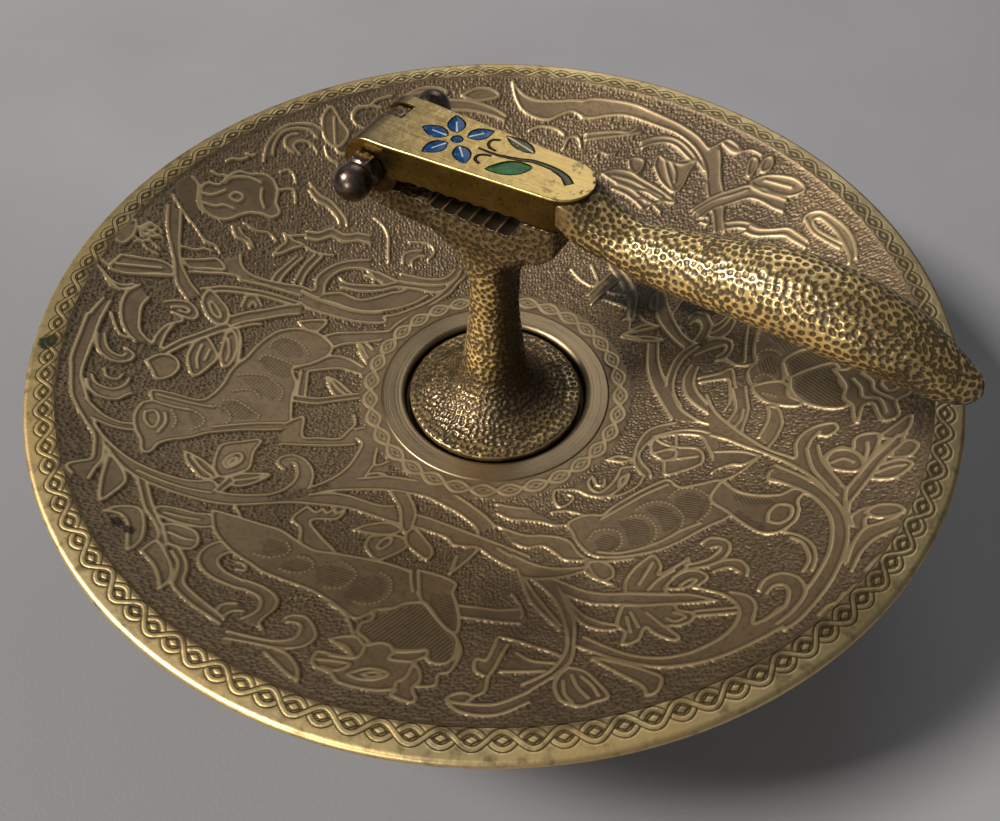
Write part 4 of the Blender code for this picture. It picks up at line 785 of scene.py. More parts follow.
line([(97.6, -16), (98.6, -20), (98.4, -23.4), (101.6, -26), (101.8, -31.4)])
line([(100, -15), (101.6, -19), (101.4, -22.6), (104.6, -27.8)])
# Front right: the vine turns down to the rim and throws out boughs with lobed leaves.
strap([(5, -65.3), (5.9, -70.6), (7.6, -77), (10.6, -82.4), (14.1, -87.6)],
      [(6.5, -69), (8.4, -74), (11, -79.4), (14.3, -86.2)])
strap([(14.1, -69.7), (15.5, -75.3), (16.5, -80), (17.6, -85.3), (17, -91.8), (15.9, -97.6), (12.4, -101.8),
       (8.8, -104.7), (5.9, -107)],
      [(8.8, -70), (11.8, -74.1), (14.1, -78.8), (15.3, -84.7), (15.6, -90.6), (14.7, -95.3), (11.8, -100),
       (8.8, -102.4), (4.7, -104.7)])
strap([(3.5, -60.6), (7.6, -63.5), (11.8, -65.6), (16.5, -66.5), (21.8, -66.5)],
      [(5.9, -68.8), (8.8, -69.6), (13.5, -69.7), (17.6, -69.1), (21.5, -67.9)])
strap([(13.5, -69.7), (17.6, -72.6), (21.2, -75), (25.9, -76.5), (30.6, -77), (35.3, -77.9), (40, -78.8),
       (45.5, -79.9), (50.6, -82.9)],
      [(15.9, -75.6), (20, -78.2), (23.5, -79.7), (29.4, -80.6), (34.1, -81.5), (40, -82), (45.9, -82.6),
       (50.6, -82.9)])
strap([(15.9, -75.9), (17.6, -79.4), (20, -83.2), (23.5, -85.9), (27, -87.4)],
      [(16.4, -79), (18.2, -83.5), (20, -86.5), (23.5, -88.6), (26.8, -88.9)])
form([(29.4, -81), (27.9, -84.7), (27.4, -87.6), (28.8, -90), (27.8, -93.6), (31.2, -92.9), (33.5, -88.8),
      (35.3, -91.2), (38.8, -93.9), (40.2, -93), (38.2, -89.4), (41.2, -89.4), (44.1, -88.2), (44.6, -85.9),
      (41.8, -84.5), (40.5, -82.2), (35, -81.7)])
line([(30.9, -83.5), (32, -88.6)])
line([(34.5, -84.1), (37.6, -89.2)])
line([(29.8, -85), (30, -90)])
line([(40.6, -85), (42.8, -86.8), (40.4, -88), (38.6, -86.6)])
form([(30.6, -76.6), (31.3, -72.4), (34.1, -68.2), (38.2, -64.7), (39.6, -65.4), (40.2, -68.8),
      (39.2, -71.6), (42, -70.4), (45.9, -68.1), (47.2, -67), (46.4, -70), (43.5, -72.4), (40, -76.4),
      (40, -78.4), (35.3, -77.7)])
line([(38.4, -67), (36.4, -70.5), (34.1, -74.3)])
line([(36, -76.5), (38.8, -73.4), (43, -70.8)])
strap([(51.2, -62.4), (53.5, -61.2), (56.5, -62.4), (57.4, -65.3), (55.3, -68.8), (51.8, -70.6), (47, -71)],
      [(53, -64.6), (54.8, -64.6), (54.7, -66), (52, -68.2), (48.8, -69.2), (46, -69.4)])
strap([(42.4, -73.2), (45.9, -71.6), (48.8, -72.2), (50.2, -74.7), (47.6, -77), (46.5, -77.4)],
      [(43.5, -76.3), (46.3, -74.6), (47.4, -75.2), (44.6, -77.2), (40.2, -76.8)])
strap([(50.6, -71), (54.7, -69.8), (58.2, -70.3), (59.6, -73.2), (59, -76)],
      [(52, -73), (55.6, -72.4), (57.4, -74.4)])
strap([(46.5, -77.4), (50, -79.4), (52.9, -81.8), (54.6, -85.3), (54.2, -88.8), (51.4, -92.9), (47, -96.1),
       (41.2, -98.5), (35.3, -99.1), (29.4, -97.6), (24.7, -94.7), (19.4, -90.6)],
      [(54.1, -80.6), (57.6, -82.9), (58.4, -86.5), (56.5, -91.8), (60, -90.6), (64, -88), (66, -91.5),
       (60, -95.3), (52.9, -98.6), (47, -100.8), (41.2, -101.9), (35.3, -101.9), (30.6, -100.6),
       (25.3, -98.2), (20.6, -95.3), (17.6, -93.5)])
strap([(45.3, -85.4), (54.6, -86)],
      [(45.3, -87), (54.2, -87.7)])
form([(29.4, -101.2), (32.9, -103.5), (34.4, -105.3), (32.9, -108.8), (30.6, -109.7), (30, -107),
      (25.3, -102.4), (20.6, -97.6), (24, -98.6)])
form([(15, -100), (18.2, -101.2), (20.6, -104.7), (22.6, -109.4), (19.5, -110.8), (16.6, -111.8),
      (12.8, -110), (11.6, -105.5), (13, -102)])
line([(15.6, -102.4), (16.4, -106), (18.4, -109.5)])
line([(17.6, -103), (19.6, -106), (20.6, -109)])
line([(13.6, -104), (13.6, -108), (15, -110.5)])
line([(0, -89.4), (3.5, -90.6), (7, -92.4), (11.8, -94.9), (13.8, -96.6)])
strap([(3.8, -94.7), (7, -97.4), (12, -98.4)],
      [(0, -100.6), (4.7, -100.8), (9.8, -100.8)])
line([(3.2, -74.5), (5.3, -79.4), (5.3, -82.9), (2.6, -83.6)])
line([(22.4, -64.7), (21.8, -67.6), (23.5, -70.4), (28, -73.4)])
form([(22.6, -65), (25.9, -64.8), (28.4, -67.4), (28.2, -70.6), (25.6, -71.6), (23.6, -69)])
# Front right by the rim: the great vine climbs again to the far right, with a curl in it and leaves outside.
strap([(62.2, -95.2), (65.8, -93), (70, -89), (74.6, -83.8), (79, -77.4), (82.4, -70.6), (84, -64),
       (83.6, -57), (81.4, -50.4), (78, -44.8), (73.6, -39.4)],
      [(63.2, -89.4), (66.4, -87.2), (69.8, -84), (73.8, -79.2), (77.6, -73.4), (79.8, -68), (81, -62.8),
       (80.6, -57.6), (78.6, -52.2), (75, -47.6), (71.6, -44)])
strap([(60.2, -81.4), (62.4, -78.4), (66.2, -77.2), (69.4, -79.8), (69.4, -84.8), (65.4, -89.8),
       (61.2, -93)],
      [(61.6, -83), (63.6, -81), (65.8, -81.2), (66.2, -83.8), (64.2, -88), (61, -90.2), (58.8, -91.6)])
strap([(90.2, -50.6), (92.6, -48), (95.4, -45.4), (99.4, -42.4), (102.2, -40)],
      [(85.8, -59.2), (89.4, -55.4), (93.4, -51), (97.2, -46.8), (101.8, -43.6)])
form([(85.2, -41.8), (87.8, -39.6), (90.8, -40.4), (92.6, -43.6), (92.4, -47.4), (90, -48.2), (87, -46.4),
      (85.4, -44.8)])
line([(86.2, -43.4), (89, -43), (90.8, -45.2)])
strap([(82, -36.2), (81.6, -43.4), (83, -49.6), (84.4, -55)],
      [(84.8, -36), (84.4, -41.6), (85.4, -47.2), (86.8, -54)])
strap([(80, -77.8), (83.4, -71.8), (86.8, -68.2), (90.4, -67.6), (94.4, -66.8)],
      [(80.4, -80.6), (83.8, -75.6), (87.4, -72.4), (90.8, -71.2), (94, -70.4)])
form([(88.4, -63), (91.6, -61.6), (95, -63), (95.8, -65.6), (93, -66.2), (90, -65.4)])
line([(83, -81.4), (85.6, -79), (88.2, -77.2), (90.4, -76.6)])
line([(77, -87.8), (79.2, -85.6), (81.6, -84.8), (83.6, -82.4)])
line([(70, -92.4), (72.8, -90), (74.6, -89.6), (76.8, -87)])
strap([(70.6, -63.8), (73.4, -66.2), (75, -69.8), (74.6, -74.2), (72.8, -78)],
      [(71.2, -66), (73, -68.2), (73.4, -71.6), (73, -74.6), (71, -77.6)])
# Front left: a lion-like beast. The body comes first, then mane, wing, head and the curls round it.
form([(-72, -53), (-66, -54), (-60, -55.3), (-55, -56.5), (-50, -60), (-45.9, -62.2), (-40, -62.6),
      (-31.8, -63.8), (-27, -65), (-22.4, -67), (-20.5, -70), (-19.5, -75), (-18.2, -77.9), (-22.4, -78.8),
      (-25.3, -80.3), (-29.4, -81.2), (-30.6, -82.6), (-33.5, -84.4), (-37, -81.8), (-40.6, -78.8),
      (-45.3, -75.9), (-51.2, -73.8), (-56.5, -71.8), (-60, -69.4), (-65, -66), (-70, -60)])
line([(-40, -80.3), (-36.5, -82.6), (-34.7, -85.9), (-33.2, -90)])
for outline in ([(-58.5, -65), (-53, -64), (-52.6, -61.5), (-57, -59.5)],
                [(-53, -69), (-48.5, -70), (-46.3, -68.5), (-46.5, -66.2), (-49.5, -65.5), (-52, -67)],
                [(-44, -73.4), (-39, -73.4), (-36, -70.5), (-37, -67.5), (-41, -66.5), (-44.5, -68)],
                [(-37, -77.4), (-32, -78.2), (-28.5, -76.4), (-27.2, -72.6), (-29, -69.5), (-34, -70)]):
    strokes(outline, -18, 0.85)
for arc_points in ([(-59.7, -65.9), (-56.5, -66.5), (-54.1, -65.6), (-52.4, -64.4), (-52, -62.4),
                    (-53, -60.6)],
                   [(-49.4, -64.7), (-46.8, -65.3), (-45.6, -67), (-46.2, -69.1), (-48.8, -70.6),
                    (-51.2, -70.6), (-53.8, -69.7)],
                   [(-38.8, -65.3), (-36.5, -66.8), (-35, -69.4), (-35.9, -71.8), (-37.4, -73.8),
                    (-39.4, -74.6), (-42.4, -74.6)],
                   [(-29.1, -68.2), (-27, -69.7), (-26.2, -72.6), (-26.5, -75.3), (-27.9, -77.6),
                    (-30.6, -79.1), (-33.5, -79.1), (-35.3, -78.2)],
                   [(-49, -79.4), (-46.5, -78.8), (-45, -79.4), (-44.6, -77.6)]):
    beads(arc_points)
form([(-29.4, -81.2), (-25.3, -80.3), (-22.4, -78.5), (-18.8, -77.9), (-17.4, -78.8), (-15.3, -82.4),
      (-12.9, -85.9), (-10, -89.4), (-9.7, -93), (-10.6, -96.5), (-13, -98.2), (-16, -97), (-16.5, -93.8),
      (-18.8, -94.1), (-23.5, -94.1), (-25.3, -92.4), (-28.8, -92.6), (-30.6, -90.6), (-32.4, -88.8),
      (-31.8, -85.9), (-29.7, -84.4)])
strokes([(-29, -83), (-22.4, -79.6), (-18.2, -78.9), (-13.5, -86), (-10.8, -91), (-11.5, -96.5),
         (-15.5, -96), (-16, -93), (-23.2, -93), (-25.3, -91.4), (-28.8, -91.4), (-31.2, -88)], 50, 0.95)
form([(-20, -66.5), (-14.1, -68.5), (-10.6, -71), (-11.2, -74.1), (-10.3, -77.6), (-9.4, -83.5), (-10, -88),
      (-12.9, -85.9), (-17, -78.8), (-18.6, -77.4), (-19.4, -74), (-19.7, -70)])
strokes([(-16.5, -74.2), (-11.8, -75), (-10.8, -78.2), (-10.4, -83.5), (-11, -86.5),
         (-16.2, -78.9)], -24, 0.9)
strap([(-21.8, -66.5), (-21.6, -70), (-20.9, -74.1)],
      [(-20, -66.5), (-19.7, -70), (-19.4, -74)])
line([(-10, -89.4), (-8.8, -93.5), (-9.7, -97.6), (-11.2, -100.6), (-13.5, -101.5), (-14.1, -104.7),
      (-17.6, -105.4)])
form([(-38.2, -91.8), (-35.3, -90.6), (-32.4, -90.6), (-30.3, -93), (-27, -92), (-24.7, -92.9),
      (-23.5, -94.7), (-18.8, -94.4), (-16.5, -93.8), (-16.5, -95.9), (-18.8, -97.6), (-17.6, -100.6),
      (-17.4, -103.5), (-18.8, -105.9), (-17.9, -108.8), (-18.8, -110), (-21.8, -108.8), (-23.2, -107.9),
      (-22.4, -106.3), (-25.9, -106.8), (-30.6, -106.2), (-34.7, -104.7), (-36.5, -102.4), (-39.7, -100.8),
      (-40.9, -99.1), (-40.6, -96.8), (-39.7, -95.9), (-34.7, -97), (-33, -96.6), (-35.5, -94)])
line([(-39.8, -98.4), (-36, -98.6), (-32.8, -99.4), (-35.5, -101.4), (-38.5, -100.6)])
line([(-37.4, -92.6), (-34.7, -93.5), (-33, -95.9), (-32.6, -97)])
line([(-30.3, -93), (-30.8, -96), (-32.6, -97.4), (-37.6, -97)])
line([(-23.5, -94.7), (-24.6, -97), (-20.6, -97.6), (-18.8, -97.6)])
form([(-33, -102.4), (-30, -100.6), (-27, -100.4), (-24.3, -101.8), (-27, -103.6), (-30.6, -103.6)])
form([(-30, -102.2), (-27.6, -101.4), (-25.8, -102), (-28, -102.9)], 0.0004)
line([(-22.4, -104.1), (-20.4, -102.4), (-19.2, -98.6)])
line([(-22.4, -104.1), (-22.6, -106.3)])
strap([(-60, -75.3), (-55.3, -77), (-52, -80), (-51.8, -83.5), (-53.5, -87), (-54.1, -88.8), (-53.2, -90.6)],
      [(-60, -78.2), (-55.9, -80.3), (-55, -83.5), (-55.9, -85.9), (-58, -88)])
strap([(-60, -92.4), (-54.1, -93.5), (-49.4, -93.8), (-45.9, -92.4), (-45, -89.4), (-45.9, -87.6),
       (-48.2, -87.4)],
      [(-60, -94.7), (-54.1, -95.3), (-48.8, -96), (-44, -95), (-41.5, -91.8), (-42.4, -88.2),
       (-44.7, -85.3), (-47.4, -85.1), (-49, -86.2)])
strap([(-49.4, -96.2), (-46.5, -97.6), (-43.8, -101.2), (-42.9, -104.9)],
      [(-51.2, -97.6), (-48.2, -100.6), (-45.3, -103.5), (-43, -105.2)])
strap([(-9.4, -78.8), (-4.7, -79.4), (0, -80.3), (5, -80)],
      [(-9, -82.8), (-4.7, -83.4), (0, -84.4), (5, -85)])
strap([(-11.2, -110), (-8.8, -112.4), (-4.7, -113.6), (0, -113.2), (6, -110)],
      [(-7, -109.7), (-5.9, -108.2), (-7.6, -107), (-10, -107.4), (-11.4, -109), (-9, -110), (-3.5, -110.6),
       (0, -110), (5.9, -107)])
strap([(-0.5, -90), (-1.4, -93), (-3, -96.8), (-5.3, -96.5), (-5.6, -100), (-3.6, -101.8)],
      [(2, -92), (0.6, -95), (-1.2, -99.5), (-2.6, -102.4), (-3.4, -106.5), (-5.9, -108.2)])

# Matted ground: small round punch marks set close together without order, about a millimetre apart.
mat_pitch = 0.00098
mat_count = int(2 * raster_half / mat_pitch)
mat_random = np.random.default_rng(7)
mat_rows, mat_columns = np.meshgrid(np.arange(mat_count), np.arange(mat_count), indexing='ij')
mat_spots = np.column_stack([mat_columns.ravel(), mat_rows.ravel()]) * mat_pitch - raster_half + mat_pitch / 2
mat_spots += mat_random.uniform(-0.34, 0.34, mat_spots.shape) * mat_pitch
mat_size = mat_random.uniform(0.30, 0.52, len(mat_spots)) * mat_pitch
mat_spots = mat_spots[np.abs(mat_spots).max(axis=1) < raster_half - mat_pitch]
pits = empty_layer()
stamp(pits, mat_spots, mat_size[:len(mat_spots)], 1.0)

# Twisted rope round the seat, and again on the border: two strands that cross as waves, with an eye in
# each opening between them.
grid_line = np.arange(raster_count) * cell - raster_half
cell_x, cell_y = np.meshgrid(grid_line, grid_line)
cell_radius = np.hypot(cell_x, cell_y)
cell_angle = np.arctan2(cell_y, cell_x)


def strands(radius, angle, circle, swing, turns):
    """Distance of each place from two strands, square to their run.

    A strand lies at the circle's radius plus or minus the swing times the sine of half the turns times
    the angle. The plain distance is divided by the length of the strand's slope.
    """
    phase = angle * turns / 2
    lean = np.sqrt(1 + (swing * np.cos(phase) * turns / 2 / circle) ** 2)
    return [np.abs(radius - circle - side * swing * np.sin(phase)) / lean for side in (1, -1)]


def oval(radius, angle, circle, turns, half_height, half_share):
    """Pointed ovals halfway between the strands' crossings: 0 in the middle of each, 1 on its edge."""
    unit = 2 * pi * circle / turns
    along = (np.mod(angle * turns / 2 / pi, 1) - 0.5) * unit
    return np.abs(radius - circle) / half_height + np.abs(along) / (unit * half_share)


inner_rope_radius = 0.0372
inner_rope_swing = 0.0019
inner_turns = 32
inner_strand = 0.00055
inner_eye_line = 0.42
nearest = np.minimum(*strands(cell_radius, cell_angle, inner_rope_radius, inner_rope_swing, inner_turns))
inner_rope = np.clip(1 - (nearest / inner_strand) ** 2, 0, 1) ** 0.5
inner_oval = oval(cell_radius, cell_angle, inner_rope_radius, inner_turns, inner_rope_swing * 0.42, 0.26)
inner_eye = np.clip(1 - ((inner_oval - 1) / inner_eye_line) ** 2, 0, 1) ** 0.5
inner_band = (cell_radius > seat_radius + 0.0004) & (cell_radius < inner_rope_radius + 0.0031)
clear_under(inner_band)
ridge = np.where(inner_band, np.maximum(inner_rope, 0.7 * inner_eye), ridge).astype(np.float32)
ridge[cell_radius < seat_radius + 0.0008] = 0
matting[cell_radius < seat_radius + 0.0008] = 0

line_height = 0.00036
mat_depth = 0.00038
groove_depth = 0.00026
ground_drop = 0.00012
halo_depth = 0.00005


def softened(layer, times):
    """The layer with each cell and its neighbours mixed 1 : 2 : 1 both ways, some times over."""
    for turn in range(times):
        for axis in (0, 1):
            layer = (2 * layer + np.roll(layer, 1, axis) + np.roll(layer, -1, axis)) / 4
    return layer


soft_ridge = np.clip(1.35 * softened(ridge, 4), 0, 1)
matting = np.clip(matting - 1.8 * softened(ridge, 3), 0, 1)
relief = softened(ridge * line_height - matting * ground_drop - groove * groove_depth, 8)
relief -= softened(matting * pits, 1) * mat_depth
punched = matting * (0.12 + 0.88 * pits)
halo = np.clip(3.2 * softened(ridge, 12) - 1.9 * soft_ridge, 0, 1)
relief -= halo * halo_depth


def sampled(layer, x, y):
    """Value of a layer at places between its cells, in proportion to the four cells round each."""
    u = (x + raster_half) / cell
    v = (y + raster_half) / cell
    column = np.clip(u.astype(int), 0, raster_count - 2)
    row = np.clip(v.astype(int), 0, raster_count - 2)
    s = u - column
    t = v - row
    return ((layer[row, column] * (1 - s) + layer[row, column + 1] * s) * (1 - t)
            + (layer[row + 1, column] * (1 - s) + layer[row + 1, column + 1] * s) * t)


def picture_level(x, y):
    """Places on the dish turned back to the picture's level, in which the figure is drawn."""
    c, s = cos(picture_turn), sin(picture_turn)
    return c * x + s * y, -s * x + c * y


def build(name, vertices, faces, material, body, node_name, slot, marks=None):
    """Make a smooth mesh object that rides on a body, its faces turned outward.

    Faces are given as arrays, one for each number of corners. They are all turned over when the volume
    that they enclose comes out negative: a sixth of the sum of a . (b x c) over a fan of triangles.
    """
    points = np.ascontiguousarray(vertices, float)
    volume = 0
    for group in faces:
        for k in range(1, group.shape[1] - 1):
            a, b, c = points[group[:, 0]], points[group[:, k]], points[group[:, k + 1]]
            volume += (a * np.cross(b, c)).sum() / 6
    if volume < 0:
        faces = [group[:, ::-1] for group in faces]
    sizes = np.concatenate([np.full(len(group), group.shape[1]) for group in faces])
    corners = np.concatenate([group.ravel() for group in faces]).astype(np.int32)
    mesh = bpy.data.meshes.new(name)
    mesh.vertices.add(len(points))
    mesh.vertices.foreach_set("co", points.astype(np.float32).ravel())
    mesh.loops.add(len(corners))
    mesh.loops.foreach_set("vertex_index", corners)
    mesh.polygons.add(len(sizes))
    mesh.polygons.foreach_set("loop_start", (np.cumsum(sizes) - sizes).astype(np.int32))
    mesh.update(calc_edges=True)
    mesh.validate()
    for key, values in (marks or {}).items():
        layer = mesh.attributes.new(key, 'FLOAT', 'POINT')
        layer.data.foreach_set("value", np.ascontiguousarray(values, np.float32).ravel())
    mesh.shade_smooth()
    mesh.materials.append(material)
    made = bpy.data.objects.new(name, mesh)
    bpy.context.scene.collection.objects.link(made)
    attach(made, body)
    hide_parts(node_name)
    return made


def lattice(rows, columns, wrap_rows=False, wrap_columns=False):
    """Corner numbers of the four-cornered faces of a grid of points, row after row."""
    i = np.arange(rows if wrap_rows else rows - 1)[:, None]
    j = np.arange(columns if wrap_columns else columns - 1)[None, :]
    i2 = (i + 1) % rows
    j2 = (j + 1) % columns
    corners = [i * columns + j, i * columns + j2, i2 * columns + j2, i2 * columns + j]
    return np.stack(np.broadcast_arrays(*corners), -1).reshape(-1, 4)


def tube_faces(rows, columns, pointed=False):
    """Faces of a tube made of closed rings: its side and its two ends.

    The last end is one face, or when it is pointed a fan to one more point behind all the rings.
    """
    last = (rows - 1) * columns + np.arange(columns)
    fan = np.column_stack([last, np.roll(last, -1), np.full(columns, rows * columns)])
    end = fan if pointed else last[None, :]
    return [lattice(rows, columns, wrap_columns=True), np.arange(columns)[None, ::-1], end]


def attribute(node, name):
    """Value stored on the mesh's points."""
    return node("Attribute", attribute_name=name).outputs["Fac"]


field_brass, node, feed, place = new_material("chased_brass")
raised = attribute(node, "raised")
matted = attribute(node, "matted")
cut = attribute(node, "cut")
cloud = between(node, speckle(node, place, 28.0, 4.0), 0.35, 0.68)
drift = between(node, speckle(node, place, 90.0, 5.0), 0.3, 0.7)
flat = blended(node, (0.196, 0.137, 0.075), (0.276, 0.194, 0.107), cloud)
flat = blended(node, flat, (0.140, 0.096, 0.058), between(node, drift, 0.55, 1.0, 0.0, 0.6))
bright = blended(node, (0.365, 0.268, 0.140), (0.475, 0.351, 0.183), drift)
dark = blended(node, (0.052, 0.037, 0.025), (0.100, 0.071, 0.046), drift)
fine = between(node, speckle(node, place, 700.0, 4.0, 0.6), 0.36, 0.64)
flat = blended(node, flat, (0.110, 0.078, 0.045), between(node, fine, 0.5, 1.0, 0.0, 0.45))
tone = blended(node, flat, dark, matted)
# Painted shade: a dark outline beside each raised line, laid over the very shallow groove there.
hollow = between(node, attribute(node, "halo"), 0.10, 0.75, 0.0, 0.72)
tone = blended(node, tone, (0.055, 0.039, 0.024), hollow)
tone = blended(node, tone, (0.030, 0.022, 0.013), between(node, cut, 0.2, 0.9, 0.0, 0.75))
tone = blended(node, tone, bright, between(node, raised, 0.30, 0.85))


def stain_and_shade(node, place, colour, spot, reach, tint, amount, grain):
    """Colour with a ragged patch round a spot, given level with the picture as x and y on the dish."""
    middle = level_to_lever @ Vector((*spot, 0.0))
    here = node("VectorMath", operation='MULTIPLY', s0=place, s1=(1.0, 1.0, 0.0)).outputs[0]
    away = node("VectorMath", operation='DISTANCE', s0=here, s1=middle).outputs["Value"]
    ragged = node("Math", operation='ADD', s0=between(node, away, 0.0, reach, 0.75, -0.25),
                  s1=speckle(node, place, grain, 4.0, 0.65)).outputs[0]
    return blended(node, colour, tint, between(node, ragged, 0.62, 0.86, 0.0, amount))


# Each patch's spot, reach, tint, amount and grain. Stains: two black spots and brown at the front.
# Painted light at the front left, painted shade at the back right, and painted shadow behind the post.
black_spot = (0.010, 0.008, 0.007)
painted_shadow_tint = (0.030, 0.027, 0.024)
field_stains_and_shades = (((-0.0905, -0.0634), 0.0034, black_spot, 0.92, 520.0),
                ((-0.0879, -0.0653), 0.0028, black_spot, 0.9, 620.0),
                ((0.0090, -0.0800), 0.0260, (0.075, 0.050, 0.032), 0.5, 80.0),
                ((0.0640, 0.0740), 0.0620, (0.095, 0.069, 0.042), 0.66, 34.0),
                ((-0.0450, -0.0500), 0.1200, (0.300, 0.212, 0.115), 0.14, 30.0),
                ((0.0476, 0.0325), 0.014, painted_shadow_tint, 0.8, 180.0),
                ((0.0386, 0.0381), 0.010, painted_shadow_tint, 0.8, 180.0),
                ((0.0652, 0.0278), 0.012, painted_shadow_tint, 0.8, 180.0))
for field_patch in field_stains_and_shades:
    tone = stain_and_shade(node, place, tone, *field_patch)
feed("Base Color", tone)
feed("Metallic", 0.85)
feed("Roughness", between(node, raised, 0.1, 0.9, 0.50, 0.45))
worn_in = bump(node, speckle(node, place, 1500.0, 4.0), 0.25, 0.0001)
punch = node("TexVoronoi", Vector=place, Scale=1150.0, Randomness=0.9).outputs["Distance"]
feed("Normal", bump(node, punch, between(node, matted, 0.1, 0.6, 0.0, 0.75), 0.00025, worn_in))

sector_count = 8
sector_columns = 300
field_rows = 280
coarse = 20


def field_sector(number):
    """One eighth of the figured sheet: the bowl's face with the relief, and a plain underside.

    The upper grid runs over radius and angle, at the bowl's height plus the relief. The lower one has
    every twentieth point, one sheet's thickness down, and faces with many corners close the sides.
    """
    radius = np.linspace(seat_radius, border_inner, field_rows + 1)[:, None]
    first = 2 * pi * number / sector_count
    angle = first + np.linspace(0, 2 * pi / sector_count, sector_columns + 1)[None, :]
    x = radius * np.cos(angle)
    y = radius * np.sin(angle)
    figure_x, figure_y = picture_level(x, y)
    fade = np.clip((border_inner - radius) / 0.0008, 0, 1) * np.clip((radius - seat_radius) / 0.0004, 0, 1)
    lift = sampled(relief, figure_x, figure_y) * fade
    top = np.stack([x, y, bowl_height(radius) + lift], -1).reshape(-1, 3)
    below = np.stack([x, y, bowl_height(radius) - sheet + 0 * x], -1)[::coarse, ::coarse].reshape(-1, 3)
    rows, columns = field_rows + 1, sector_columns + 1
    low_rows, low_columns = field_rows // coarse + 1, sector_columns // coarse + 1
    start = rows * columns
    faces = [lattice(rows, columns), lattice(low_rows, low_columns)[:, ::-1] + start]
    back = np.arange(coarse, -1, -1)[None, :]
    k = np.arange(low_columns - 1)[:, None]
    for edge_row, low_row, order in ((0, 0, 1), (rows - 1, low_rows - 1, -1)):
        pair = start + low_row * low_columns + k + [0, 1]
        faces.append(np.hstack([edge_row * columns + k * coarse + back, pair])[:, ::order])
    k = np.arange(low_rows - 1)[:, None]
    for edge_column, low_column, order in ((0, 0, -1), (columns - 1, low_columns - 1, 1)):
        pair = start + (k + [0, 1]) * low_columns + low_column
        faces.append(np.hstack([(k * coarse + back) * columns + edge_column, pair])[:, ::order])
    padding = np.zeros(len(below))
    layers = {"raised": soft_ridge, "matted": punched, "halo": halo, "cut": groove}
    marks = {key: np.append(sampled(layer, figure_x, figure_y) * fade, padding)
             for key, layer in layers.items()}
    sector = build("dish_field_%d" % (number + 1), np.vstack([top, below]), faces, field_brass, "stand",
                   "dish", "dish_brass", marks)
    sector.data.set_sharp_from_angle(angle=radians(78))
    return sector


for number in range(sector_count):
    field_sector(number)

# Border and rolled rim of the dish: the flat edge of the same sheet, left bright, stamped with the rope
# pattern and rolled under at the rim.
border_brass, node, feed, place = new_material("border_brass")
engraved = attribute(node, "cut")
cloud = between(node, speckle(node, place, 60.0, 5.0), 0.35, 0.7)
gold = blended(node, (0.66, 0.475, 0.205), (0.92, 0.705, 0.345), cloud)
# Painted shade: the border's right side is darkened towards a dull brown.
right_way = level_to_lever @ Vector((1.0, 0.0, 0.0))
rightward = node("VectorMath", operation='DOT_PRODUCT', s0=place, s1=right_way).outputs["Value"]
border_right_shade = between(node, rightward, 0.030, 0.115, 0.0, 0.72)
gold = blended(node, gold, (0.200, 0.155, 0.088), border_right_shade)
soiled = between(node, speckle(node, place, 240.0, 5.0), 0.52, 0.68, 0.0, 0.62)
gold = blended(node, gold, (0.17, 0.115, 0.058), soiled)
reach = node("VectorMath", operation='LENGTH', s0=node(
    "VectorMath", operation='MULTIPLY', s0=place, s1=(1.0, 1.0, 0.0)).outputs[0]).outputs["Value"]
inner = node("Math", operation='ADD', s0=between(node, reach, 0.1171, 0.1200, 0.80, 0.0),
             s1=between(node, speckle(node, place, 150.0, 4.0), 0.3, 0.7, -0.35, 0.35)).outputs[0]
gold = blended(node, gold, (0.175, 0.122, 0.066), between(node, inner, 0.15, 0.85, 0.0, 0.9))
gold = stain_and_shade(node, place, gold, (-0.1206, -0.0080), 0.0052, (0.020, 0.060, 0.036), 0.9, 380.0)
feed("Base Color", blended(node, gold, (0.100, 0.068, 0.032), between(node, engraved, 0.15, 0.9)))
feed("Metallic", 1.0)
feed("Roughness", between(node, cloud, 0.0, 1.0, 0.46, 0.34))
feed("Normal", bump(node, speckle(node, place, 700.0, 5.0), 0.35, 0.0002))

border_rope_radius = 0.1197
border_rope_swing = 0.0019
border_turns = 120
strand_half = 0.00045
cut_place = 0.00062
cut_half = 0.00028
cut_depth = 0.00012
inner_drop = 0.0001
border_columns = 2400
border_rows = 27


